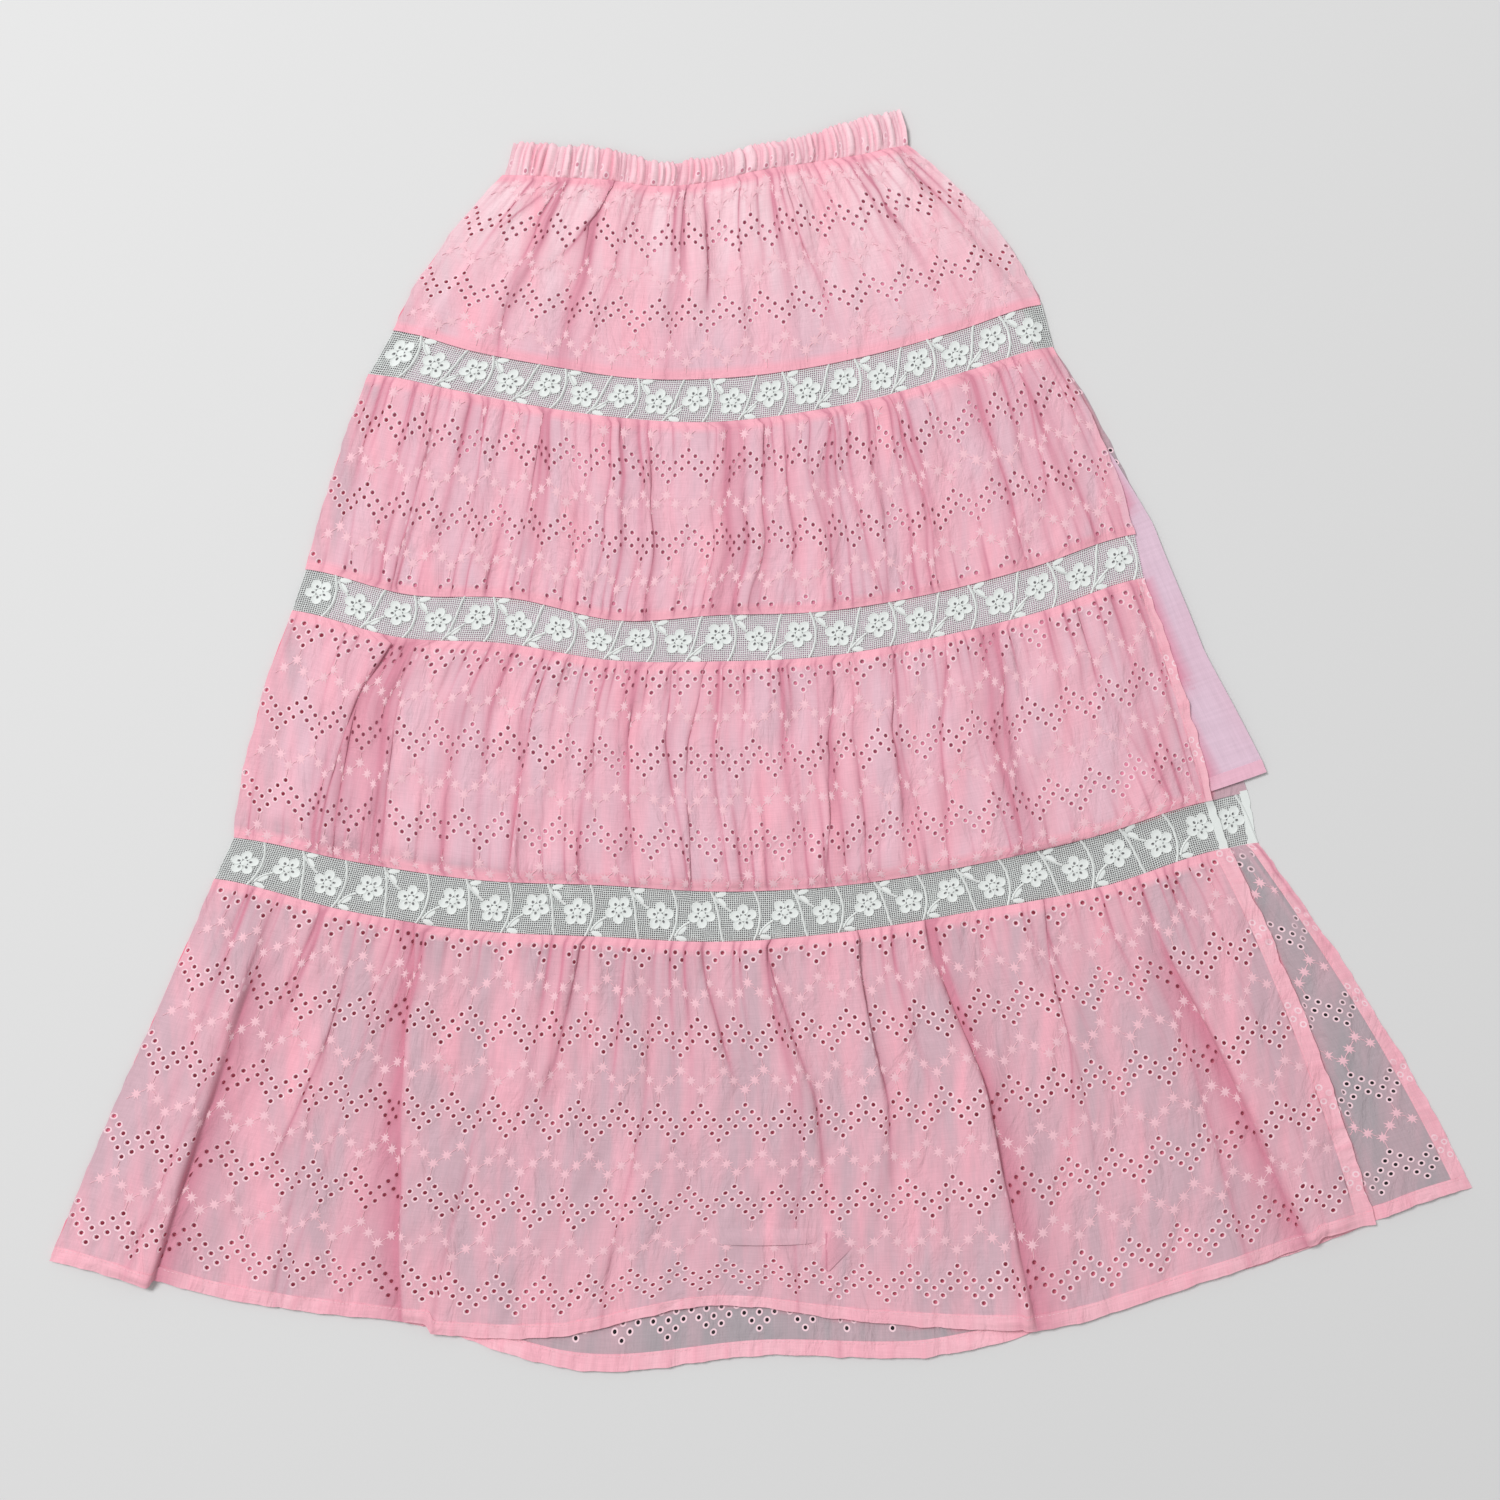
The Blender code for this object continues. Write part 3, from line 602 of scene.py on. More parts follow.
class Lattice:
    """A flat closed sheet on the chart's cells; eyelets are cut through it at three columns a cell."""

    def __init__(self, columns, lines, holed=None, per_cell=COLUMNS_PER_CELL):
        self.across = np.arange(columns * per_cell + 1) / per_cell
        self.lines = np.asarray(lines, float)
        wide, tall = len(self.across), len(self.lines)
        grid = np.arange(wide * tall).reshape(tall, wide)
        open_cell = np.zeros((tall - 1, wide - 1), bool)
        holes = []
        if holed is not None:
            for row, column in zip(*np.nonzero(holed)):
                line = int(np.searchsorted(self.lines, row))
                open_cell[line, column * per_cell:(column + 1) * per_cell] = True
                holes.append((line, column * per_cell))
        keep = ~open_cell
        self.quads = np.stack([
            grid[1:, :-1][keep], grid[1:, 1:][keep], grid[:-1, 1:][keep], grid[:-1, :-1][keep],
        ], axis=1)
        x, y = np.meshgrid(self.across, self.lines)
        self.x, self.y = x.ravel(), y.ravel()
        self.ring_start = len(self.x)
        self.hole_count = len(holes)
        if holes:
            line, column = np.array(holes).T
            self.centre = np.stack([self.across[column] + 0.5, self.lines[line] + 0.5], axis=1)
            corners = np.arange(len(holes) * EYELET_SIDES)
            self.rings = self.ring_start + corners.reshape(-1, EYELET_SIDES)
            self.join_rings(grid, line, column)
        edge = [grid[0, :], grid[1:, -1], grid[-1, -2::-1], grid[-2::-1, 0]]
        self.border = np.concatenate(edge)

    def join_rings(self, grid, line, column):
        """Joins the eight points of a cell's edge to the eight of its eyelet."""
        top = [grid[line, column + step] for step in range(4)]
        bottom = [grid[line + 1, column + step] for step in (3, 2, 1, 0)]
        outer = np.stack(top + bottom, axis=1)
        inner = self.rings
        quads = []
        for side in range(EYELET_SIDES):
            after = (side + 1) % EYELET_SIDES
            quads.append(np.stack([
                outer[:, side], inner[:, side], inner[:, after], outer[:, after]], axis=1))
        self.quads = np.concatenate([self.quads] + quads)

    def ring_points(self, radius_x, radius_y):
        angles = ring_angles(EYELET_SIDES)
        x = self.centre[:, :1] + radius_x * np.cos(angles)
        y = self.centre[:, 1:] - radius_y * np.sin(angles)
        return x.ravel(), y.ravel()

    def shell(self):
        """Quads of the closed sheet; the lower side's points follow the upper's."""
        count = self.ring_start + self.hole_count * EYELET_SIDES
        after = np.roll(self.border, -1)
        rim = np.stack([self.border, after, after + count, self.border + count], axis=1)
        quads = [self.quads, self.quads[:, ::-1] + count, rim]
        if self.hole_count:
            turned = np.roll(self.rings, -1, axis=1)
            walls = np.stack([self.rings, self.rings + count, turned + count, turned], axis=2)
            quads.append(walls.reshape(-1, 4))
        return np.concatenate(quads)


def cloth_lines(rows, fine=3):
    """Lines of a lattice: one a cell, with finer ones in the first and last cells."""
    first = np.arange(fine) / fine
    last = rows - 1 + np.arange(fine + 1) / fine
    return np.concatenate([first, np.arange(1, rows - 1), last])


def cloth_piece(name, lattice, place, material, tier=None, wall=WALL):
    """A shell on its lattice: place() lays chart cells out and marks them."""
    upper_x, upper_y = lattice.x, lattice.y
    lower_x, lower_y = lattice.x, lattice.y
    lift = np.zeros(len(upper_x))
    if lattice.hole_count:
        cell = tier.repeat_width / REPEAT_ACROSS
        size = cell / (CELL / MM)
        crest, hole = (
            lattice.ring_points(radius * size / cell, radius * size / tier.cell_height)
            for radius in (CREST_RADIUS, EYELET_RADIUS)
        )
        upper_x, upper_y = np.append(upper_x, crest[0]), np.append(upper_y, crest[1])
        lower_x, lower_y = np.append(lower_x, hole[0]), np.append(lower_y, hole[1])
        lift = np.append(lift, np.full(len(crest[0]), CREST))
    x, y, z, marks = place(np.append(upper_x, lower_x), np.append(upper_y, lower_y))
    count = len(upper_x)
    z[:count] += wall + lift
    phase = tier.first_row if tier else 0
    uv = np.stack([np.append(upper_x, lower_x) * CELL,
                   (np.append(upper_y, lower_y) + phase) * CELL], axis=1)
    return build_mesh(name, np.stack([x, y, z], axis=1), lattice.shell(), uv, marks, material)


def plain_sheet(name, corner, size, place, material, cells, wall, per_cell=2, tier=None):
    """A closed sheet of flat cloth: corner, size and cells are (across, down) in millimetres.

    With a tier, its UV map continues that tier's chart."""
    columns = max(1, round(size[0] / cells[0]))
    rows = max(1, math.ceil(size[1] / cells[1] * 2.0))
    lattice = Lattice(columns, np.linspace(0.0, size[1] / cells[1], rows + 1), None, per_cell)

    def place_cells(cell_x, cell_y):
        return place(corner[0] + cell_x / columns * size[0], corner[1] + cell_y * cells[1])

    piece = cloth_piece(name, lattice, place_cells, material, None, wall)
    if tier:
        layer = piece.data.uv_layers["Cloth"].data
        values = np.zeros(len(layer) * 2, np.float32)
        layer.foreach_get("uv", values)
        values = values.reshape(-1, 2) / CELL
        flat = corner[0] + values[:, 0] / columns * size[0]
        level = corner[1] + values[:, 1] * cells[1]
        values[:, 0] = flat / tier.repeat_width * REPEAT_ACROSS * CELL
        values[:, 1] = (level / tier.cell_height + tier.first_row) * CELL
        layer.foreach_set("uv", values.ravel())
    return piece


# Embroidery, worked flat by a node tree that repeats a charted motif, and then laid on the cloth

class Motif:
    """One repeat of embroidery: its solid parts, and the paths of its stitched lines."""

    def __init__(self):
        self.points, self.faces, self.parts = [], [], []
        self.path_points, self.path_edges, self.path_parts = [], [], []
        self.count = 0

    def add(self, points, faces):
        base = len(self.points)
        self.points += points
        self.faces += [[base + corner for corner in face] for face in faces]
        self.parts += [self.count] * len(points)
        self.count += 1

    def dome(self, outline, centre, height):
        """A stitched pad, highest at its centre."""
        points = [(x, y, height * 0.4) for x, y in outline]
        points += [(centre[0], centre[1], height), (centre[0], centre[1], -0.05)]
        top = len(outline)
        faces = []
        for corner in range(top):
            after = (corner + 1) % top
            faces.append((corner, after, top))
            faces.append((after, corner, top + 1))
        self.add(points, faces)

    def rings(self, outlines):
        """A padded ring: each outline is joined to the next, and the last to the first."""
        count = len(outlines[0])
        points = [point for outline in outlines for point in outline]
        faces = []
        for ring in range(len(outlines)):
            after_ring = (ring + 1) % len(outlines)
            for corner in range(count):
                after = (corner + 1) % count
                faces.append((ring * count + corner, ring * count + after,
                              after_ring * count + after, after_ring * count + corner))
        self.add(points, faces)

    def path(self, places):
        base = len(self.path_points)
        self.path_points += places
        self.path_edges += [(base + step, base + step + 1) for step in range(len(places) - 1)]
        self.path_parts += [self.count] * len(places)
        self.count += 1


def oval(centre, radius, squash=1.0, turn=0.0, sides=10):
    """Points round an oval; its long axis lies at the turn angle."""
    places = []
    for side in range(sides):
        angle = 2.0 * math.pi * side / sides
        along, beside = radius * math.cos(angle), radius * squash * math.sin(angle)
        places.append((centre[0] + along * math.cos(turn) - beside * math.sin(turn),
                       centre[1] + along * math.sin(turn) + beside * math.cos(turn)))
    return places


def bend(places, count):
    """Points along a smooth curve with the given control points."""
    order = len(places) - 1
    line = []
    for step in range(count):
        share = step / (count - 1)
        weights = [math.comb(order, k) * share ** k * (1.0 - share) ** (order - k)
                   for k in range(order + 1)]
        line.append((sum(w * p[0] for w, p in zip(weights, places)),
                     sum(w * p[1] for w, p in zip(weights, places)), 0.35))
    return line


STAR_RADIUS = 5.6
STAR_VALLEY = 0.4       # share of the radius between two tips
SHORT_TIP = 0.82        # every other tip is shorter
STAR_HEIGHT = 0.55
STEM_THREAD = 0.34      # radius of the stems' thread
VINE_THREAD = 0.95
LEAF_LENGTH = 9.4
FLOWER_SHIFT = 1.6      # flowers stand this far off the lace's middle, by turns up and down
STITCH_LENGTH = 2.4
STITCH_PITCH = 3.2


def star_outline(centre, turn):
    outline = []
    for tip in range(16):
        angle = turn + math.pi * tip / 8.0
        reach = STAR_RADIUS * (1.0 if tip % 2 == 0 else STAR_VALLEY)
        if tip % 4 == 2:
            reach *= SHORT_TIP
        outline.append((centre[0] + reach * math.cos(angle), centre[1] + reach * math.sin(angle)))
    return outline


def voile_motif(tier):
    """The stars and stems of one repeat of the eyelet chart, in millimetres."""
    motif = Motif()
    cell_x, cell_y = tier.repeat_width / REPEAT_ACROSS, tier.cell_height
    for index, (x, y) in enumerate(STARS):
        centre = (x * cell_x, (y % REPEAT_DOWN) * cell_y)
        motif.dome(star_outline(centre, 0.3 + 0.5 * index), centre, STAR_HEIGHT)
    for x0, y0, x1, y1 in STEMS:
        start, end = (x0 * cell_x, y0 * cell_y), (x1 * cell_x, y1 * cell_y)
        motif.path(bend([start, end], 3))
    return motif


def away(place, distance, angle):
    return place[0] + distance * math.cos(angle), place[1] + distance * math.sin(angle)


# A petal's outlines from its outer foot over its crest to its eyelet: distance of the outline's middle
# from the flower's, radius, squash and height
PETAL = ((6.7, 4.55, 0.95, 0.0), (6.7, 4.1, 0.94, 0.85), (6.7, 3.1, 0.8, 0.4),
         (4.7, 1.5, 0.72, 0.7), (4.7, 1.25, 0.68, 0.0))


def flower(motif, centre, turn):
    """A five-petal lace flower, with an eyelet near the root of each petal."""
    for petal in range(5):
        angle = turn + 2.0 * math.pi * petal / 5.0
        outlines = []
        for distance, radius, squash, height in PETAL:
            place = away(centre, distance, angle)
            outlines.append([(x, y, height) for x, y in oval(place, radius, squash, angle)])
        motif.rings(outlines)
    motif.dome(oval(centre, 2.7, 1.0, 0.0, 8), centre, 0.95)


def leaf(motif, root, turn):
    middle = away(root, LEAF_LENGTH / 2.0, turn)
    motif.dome(oval(middle, LEAF_LENGTH / 2.0, 0.46, turn, 8), middle, 0.8)


def lace_motif(spacing, height, flip):
    """One repeat of the lace: two flowers, two vines, and two stalks with their leaves."""
    motif = Motif()
    sense = -1.0 if flip else 1.0
    middle = height / 2.0

    def at(x, y):
        return (x, middle + sense * y)

    half = middle - 2.0
    first, second = spacing * 0.5, spacing * 1.5
    flower(motif, at(first, -FLOWER_SHIFT), 0.35 * sense)
    flower(motif, at(second, FLOWER_SHIFT), 1.0 * sense)
    for count, places in (
        (9, ((first + 8.5, -half), (first + 15.0, -5.0), (first + 14.5, 7.0), (first + 8.0, half))),
        (9, ((second + 17.0, -half), (second + 13.0, -6.0), (second + 14.5, 4.0), (second + 6.5, half))),
        (6, ((first + 12.5, -half + 4.0), (first + 15.0, -8.5), (second - 9.0, -4.5))),
        (6, ((second + 9.0, half - 4.0), (second + 13.0, 10.0), (second + spacing - 9.5, 4.0))),
    ):
        motif.path(bend([at(x, y) for x, y in places], count))
    for x, y, turn in ((first + 12.5, -half + 3.5, -0.25), (first + 14.0, -half + 5.5, 0.75),
                       (second + 10.0, half - 3.5, 0.25), (second + 12.0, half - 5.5, -0.75)):
        leaf(motif, at(x, y), turn * sense)
    return motif


def stitch_motif():
    """One machine stitch along a seam."""
    motif = Motif()
    motif.dome(oval((0.0, 0.0), STITCH_LENGTH / 2.0, 0.26, 0.0, 6), (0.0, 0.0), 0.3)
    return motif


def repeat_tree():
    """A node tree that repeats a motif across and down a flat cloth, and stitches its lines."""
    tree = bpy.data.node_groups.new("Chart repeat", "GeometryNodeTree")
    for label, kind in (
        ("Geometry", "NodeSocketGeometry"), ("Motif", "NodeSocketObject"), ("Paths", "NodeSocketObject"),
        ("Across", "NodeSocketInt"), ("Down", "NodeSocketInt"), ("Width", "NodeSocketFloat"),
        ("Height", "NodeSocketFloat"), ("Thread", "NodeSocketFloat"), ("Material", "NodeSocketMaterial"),
    ):
        tree.interface.new_socket(label, in_out="INPUT", socket_type=kind)
    tree.interface.new_socket("Geometry", in_out="OUTPUT", socket_type="NodeSocketGeometry")
    entry, end = tree.nodes.new("NodeGroupInput"), tree.nodes.new("NodeGroupOutput")
    sizes = []
    for count, step in (("Across", "Width"), ("Down", "Height")):
        fewer = maths(tree, "SUBTRACT", entry.outputs[count], 1.0)
        sizes.append(maths(tree, "MULTIPLY", fewer, entry.outputs[step]))
    grid = node(tree, "GeometryNodeMeshGrid", {
        "Size X": sizes[0], "Size Y": sizes[1],
        "Vertices X": entry.outputs["Across"], "Vertices Y": entry.outputs["Down"]})
    halves = [maths(tree, "MULTIPLY", size, 0.5) for size in sizes]
    shift = node(tree, "ShaderNodeCombineXYZ", {0: halves[0], 1: halves[1]})
    placed = node(tree, "GeometryNodeTransform",
                  {"Geometry": grid.outputs["Mesh"], "Translation": shift.outputs[0]})
    solid = node(tree, "GeometryNodeObjectInfo", {"Object": entry.outputs["Motif"]})
    paths = node(tree, "GeometryNodeObjectInfo", {"Object": entry.outputs["Paths"]})
    curves = node(tree, "GeometryNodeMeshToCurve", {"Mesh": paths.outputs["Geometry"]})
    profile = node(tree, "GeometryNodeCurvePrimitiveCircle",
                   {"Resolution": 4, "Radius": entry.outputs["Thread"]})
    tubes = node(tree, "GeometryNodeCurveToMesh", {
        "Curve": curves.outputs["Curve"], "Profile Curve": profile.outputs["Curve"], "Fill Caps": True})
    joined = tree.nodes.new("GeometryNodeJoinGeometry")
    for part in (solid.outputs["Geometry"], tubes.outputs["Mesh"]):
        tree.links.new(part, joined.inputs[0])
    repeats = node(tree, "GeometryNodeInstanceOnPoints",
                   {"Points": placed.outputs[0], "Instance": joined.outputs[0]})
    real = node(tree, "GeometryNodeRealizeInstances", {"Geometry": repeats.outputs[0]})
    finished = node(tree, "GeometryNodeSetMaterial",
                    {"Geometry": real.outputs[0], "Material": entry.outputs["Material"]})
    tree.links.new(finished.outputs[0], end.inputs[0])
    return tree


def part_mesh(name, points, edges, faces, parts):
    """A mesh object in metres that remembers each point's part."""
    mesh = bpy.data.meshes.new(name)
    mesh.from_pydata([[value * MM for value in point] for point in points], edges, faces)
    mark_layer = mesh.attributes.new("part", "INT", "POINT")
    mark_layer.data.foreach_set("value", np.array(parts, np.int32))
    return add_object(name, mesh)


def repeat_flat(name, motif, across, down, width, height, material, thread=0.0):
    """The motif repeated on flat cloth, as a plain mesh object in metres."""
    if "tree" not in _made:
        _made["tree"] = repeat_tree()
    tree = _made["tree"]
    solid = part_mesh(name + "_motif", motif.points, [], motif.faces, motif.parts)
    paths = part_mesh(name + "_paths", motif.path_points, motif.path_edges, [], motif.path_parts)
    piece = add_object(name, bpy.data.meshes.new(name))
    modifier = piece.modifiers.new("Repeats", "NODES")
    modifier.node_group = tree
    values = {"Motif": solid, "Paths": paths, "Across": across, "Down": down, "Width": width * MM,
              "Height": height * MM, "Thread": thread * MM, "Material": material}
    for item in tree.interface.items_tree:
        if item.in_out == "INPUT" and item.name in values:
            modifier[item.identifier] = values[item.name]
    graph = bpy.context.evaluated_depsgraph_get()
    mesh = bpy.data.meshes.new_from_object(piece.evaluated_get(graph))
    piece.modifiers.clear()
    piece.data = mesh
    for helper in (solid, paths):
        bpy.data.objects.remove(helper, do_unlink=True)
    return piece


def lay_embroidery(piece, motif_parts, repeats, inside, place):
    """Keeps the parts that lie inside the cloth, and lays each point on the gathered surface."""
    mesh = piece.data
    count = len(mesh.vertices)
    points = np.zeros(count * 3, np.float32)
    mesh.vertices.foreach_get("co", points)
    points = points.reshape(-1, 3).astype(float) / MM
    parts = np.zeros(count, np.int32)
    mesh.attributes["part"].data.foreach_get("value", parts)
    island = (np.arange(count) // (count // repeats)) * motif_parts + parts
    size = np.maximum(np.bincount(island), 1)
    middle_x = np.bincount(island, points[:, 0]) / size
    middle_y = np.bincount(island, points[:, 1]) / size
    keep = inside(middle_x, middle_y)[island]
    x, y, z, _ = place(points[:, 0], points[:, 1])
    points[:, 0], points[:, 1] = x, y - MIDDLE_Y
    points[:, 2] = z + np.maximum(points[:, 2], -0.05)
    mesh.vertices.foreach_set("co", (points * MM).astype(np.float32).ravel())
    builder = bmesh.new()
    builder.from_mesh(mesh)
    builder.verts.ensure_lookup_table()
    spare = [builder.verts[index] for index in np.nonzero(~keep)[0]]
    bmesh.ops.delete(builder, geom=spare, context="VERTS")
    builder.to_mesh(mesh)
    builder.free()
    mesh.flip_normals()
    mesh.shade_smooth()
    mesh.set_sharp_from_angle(angle=EMBROIDERY_SHARP)


# Nodes of materials

def feed(tree, target, inputs):
    """Sets inputs of a node; each gets a value or another node's output."""
    for key, value in inputs.items():
        if isinstance(value, bpy.types.NodeSocket):
            tree.links.new(value, target.inputs[key])
        else:
            target.inputs[key].default_value = value


def node(tree, kind, inputs=None, **settings):
    """A node with its settings and inputs."""
    made = tree.nodes.new(kind)
    for key, value in settings.items():
        setattr(made, key, value)
    feed(tree, made, inputs or {})
    return made


def maths(tree, operation, *values):
    return node(tree, "ShaderNodeMath", dict(enumerate(values)), operation=operation).outputs[0]


def clamp(tree, value):
    return node(tree, "ShaderNodeClamp", {0: value}).outputs[0]


def map_range(tree, value, low, high, to_low=0.0, to_high=1.0):
    return node(tree, "ShaderNodeMapRange", {
        "Value": value, "From Min": low, "From Max": high, "To Min": to_low, "To Max": to_high,
    }).outputs[0]


def noise(tree, place, scale, detail, stretch=None, **more):
    """Soft noise at a place, which may be stretched first."""
    if stretch:
        place = node(tree, "ShaderNodeMapping", {"Vector": place, "Scale": stretch}).outputs[0]
    inputs = {"Vector": place, "Scale": scale, "Detail": detail, **more}
    return node(tree, "ShaderNodeTexNoise", inputs).outputs


def bump(tree, height, strength, distance, **below):
    inputs = {"Height": height, "Strength": strength, "Distance": distance, **below}
    return node(tree, "ShaderNodeBump", inputs).outputs[0]


def blend_colours(tree, factor, first, second, mode="MIX"):
    made = node(tree, "ShaderNodeMix", {0: factor, 6: first, 7: second}, data_type="RGBA",
                blend_type=mode)
    return made.outputs[2]


def mark(tree, name):
    """One of the values that each point of a cloth carries."""
    made = node(tree, "ShaderNodeAttribute", attribute_name=name, attribute_type="GEOMETRY")
    return made.outputs["Fac"]


def cloth_uv(tree):
    return node(tree, "ShaderNodeUVMap", uv_map="Cloth").outputs[0]


def object_place(tree):
    return node(tree, "ShaderNodeTexCoord").outputs["Object"]


def axes(tree, vector):
    return node(tree, "ShaderNodeSeparateXYZ", {0: vector}).outputs


def shader_group(name, inputs, outputs):
    """An empty shader group: its inputs are numbers, or colours where no default is given."""
    tree = bpy.data.node_groups.new(name, "ShaderNodeTree")
    for label, value in inputs.items():
        kind = "NodeSocketColor" if value is None else "NodeSocketFloat"
        socket = tree.interface.new_socket(label, in_out="INPUT", socket_type=kind)
        if value is not None:
            socket.default_value = value
    for label in outputs:
        kind = "NodeSocketColor" if label == "Colour" else "NodeSocketFloat"
        tree.interface.new_socket(label, in_out="OUTPUT", socket_type=kind)
    entry = tree.nodes.new("NodeGroupInput")
    return tree, entry.outputs, tree.nodes.new("NodeGroupOutput")


WEAVE_PITCH = 0.0007    # metres
NET_PITCH = 0.0016
NET_THREAD = 0.25       # share of the net's pitch
RING_RADIUS = 0.48      # of the stitching round an eyelet, in cells
CLOSED_RADIUS = 0.25    # of an eyelet that isn't cut
RING_STITCHES = 22.0
SLUBS = ((60.0, 900.0, 1.0), (900.0, 60.0, 1.0))
PATCHES = ((24.0, 5.4, 1.0), (72.0, 10.0, 1.0))
WAIST_FADE = (0.30, 0.44)       # world y between which the cloth pales towards the waist


def weave_group():
    """Fine plain weave with thicker threads here and there: its height and its tone."""
    tree, entry, end = shader_group(
        "Voile weave", {"Thread": WEAVE_PITCH, "Slub": 1.0}, ("Height", "Tone"))
    uv = cloth_uv(tree)
    parts = axes(tree, uv)
    turns = maths(tree, "DIVIDE", 2.0 * math.pi, entry["Thread"])
    warp, weft = (maths(tree, "SINE", maths(tree, "MULTIPLY", parts[axis], turns)) for axis in (0, 1))
    slubs = [noise(tree, uv, 1.0, 2.0, stretch)["Fac"] for stretch in SLUBS]
    slub = maths(tree, "SUBTRACT", maths(tree, "ADD", *slubs), 1.0)
    slub = maths(tree, "MULTIPLY", slub, entry["Slub"])
    weave = maths(tree, "MULTIPLY", maths(tree, "MULTIPLY", warp, weft), 0.35)
    feed(tree, end, {"Height": maths(tree, "ADD", weave, slub), "Tone": maths(tree, "ADD", slub, 0.5)})
    return tree


def eyelet_group():
    """The stitched ring round each eyelet of the chart, and its radial stitches."""
    tree, entry, end = shader_group(
        "Eyelet stitching", {"Cell": CELL, "Ring": RING_RADIUS}, ("Ring", "Centre", "Height"))
    parts = axes(tree, cloth_uv(tree))
    x, y = (maths(tree, "DIVIDE", parts[axis], entry["Cell"]) for axis in (0, 1))
    column = maths(tree, "FLOORED_MODULO", maths(tree, "FLOOR", x), float(REPEAT_ACROSS))
    row = maths(tree, "FLOORED_MODULO", maths(tree, "FLOOR", y), float(REPEAT_DOWN))
    half = REPEAT_ACROSS / 2.0
    from_half = maths(tree, "ABSOLUTE", maths(tree, "SUBTRACT", column, half))
    upper = maths(tree, "SUBTRACT", half, from_half)
    lower = maths(tree, "ADD", upper, float(SECOND_EYELET))
    here = maths(tree, "MAXIMUM", *(maths(tree, "COMPARE", row, line, 0.5) for line in (upper, lower)))
    across, down = (maths(tree, "SUBTRACT", maths(tree, "FRACT", place), 0.5) for place in (x, y))
    squares = (maths(tree, "MULTIPLY", side, side) for side in (across, down))
    distance = maths(tree, "SQRT", maths(tree, "ADD", *squares))
    inside = maths(tree, "SUBTRACT", entry["Ring"], distance)
    ring = maths(tree, "MULTIPLY", here, clamp(tree, maths(tree, "MULTIPLY", inside, 24.0)))
    turn = maths(tree, "MULTIPLY", maths(tree, "ARCTAN2", down, across), RING_STITCHES)
    feed(tree, end, {
        "Ring": ring,
        "Centre": maths(tree, "MULTIPLY", here, maths(tree, "LESS_THAN", distance, CLOSED_RADIUS)),
        "Height": maths(tree, "MULTIPLY", maths(tree, "SINE", turn), ring),
    })
    return tree


def crumple_group():
    """Soft uneven crumples of handled cloth: their height."""
    tree, entry, end = shader_group("Crumples", {"Size": 38.0}, ("Height",))
    soft = noise(tree, object_place(tree), entry["Size"], 5.0, (1.0, 0.45, 0.2), Roughness=0.55,
                 Distortion=0.6)["Fac"]
    ridge = maths(tree, "ABSOLUTE", maths(tree, "SUBTRACT", soft, 0.5))
    feed(tree, end, {"Height": maths(tree, "SUBTRACT", soft, maths(tree, "MULTIPLY", ridge, 0.8))})
    return tree


def fold_tint_group():
    """The cloth's colour: deeper in its creases, from doubled cloth and painted shade, and where it is
    doubled, paler near the waist, and where other cloth covers it a painted rose tint of the light
    through that cloth.
    """
    colours = dict.fromkeys(("Cloth", "Over lining", "Doubled", "Crease", "Waist", "Covered"))
    tree, entry, end = shader_group("Fold tint", {**colours, "Tone": 0.5}, ("Colour",))
    place = object_place(tree)
    large, small = (noise(tree, place, 1.0, 4.0, stretch)["Fac"] for stretch in PATCHES)
    both = maths(tree, "ADD", maths(tree, "MULTIPLY", large, 0.6), maths(tree, "MULTIPLY", small, 0.4))
    patches = maths(tree, "MULTIPLY", maths(tree, "SUBTRACT", both, 0.43), 4.4)
    colour = entry["Cloth"]
    for share, label in (
        (mark(tree, "cover"), "Over lining"),
        (map_range(tree, axes(tree, place)[1], *WAIST_FADE), "Waist"),
        (clamp(tree, patches), "Doubled"),
        (mark(tree, "band"), "Doubled"),
        (clamp(tree, mark(tree, "crease")), "Crease"),
        (mark(tree, "under"), "Covered"),
    ):
        colour = blend_colours(tree, share, colour, entry[label])
    tone = map_range(tree, entry["Tone"], 0.0, 1.0, 0.9, 1.1)
    shade = node(tree, "ShaderNodeCombineColor", dict.fromkeys((0, 1, 2), tone)).outputs[0]
    feed(tree, end, {"Colour": blend_colours(tree, 1.0, colour, shade, "MULTIPLY")})
    return tree


def net_group():
    """The lace's fine square net: where its threads run, and their height."""
    tree, entry, end = shader_group(
        "Lace net", {"Mesh": NET_PITCH, "Thread": NET_THREAD}, ("Alpha", "Height"))
    uv = cloth_uv(tree)
    moved = noise(tree, uv, 160.0, 2.0)["Color"]
    for operation, inputs in (("SUBTRACT", {1: (0.5, 0.5, 0.5)}), ("SCALE", {"Scale": NET_PITCH}),
                              ("ADD", {1: uv})):
        moved = node(tree, "ShaderNodeVectorMath", {0: moved, **inputs}, operation=operation).outputs[0]
    parts = axes(tree, moved)
    threads = []
    for axis in (0, 1):
        place = maths(tree, "FRACT", maths(tree, "DIVIDE", parts[axis], entry["Mesh"]))
        threads.append(maths(tree, "LESS_THAN", place, entry["Thread"]))
    feed(tree, end, {"Alpha": maths(tree, "MAXIMUM", *threads), "Height": maths(tree, "ADD", *threads)})
    return tree


def group_node(tree, group, inputs=None):
    return node(tree, "ShaderNodeGroup", inputs, node_tree=group)


def new_material(name, roughness=0.85, sheen=0.0):
    material = bpy.data.materials.new(name)
    material.use_nodes = True
    tree = material.node_tree
    shader = tree.nodes["Principled BSDF"]
    feed(tree, shader, {"Roughness": roughness, "Specular IOR Level": 0.25, "Sheen Weight": sheen,
                        "Sheen Roughness": 0.6})
    return material, tree, shader


def rgb(colour):
    return (colour[0], colour[1], colour[2], 1.0)


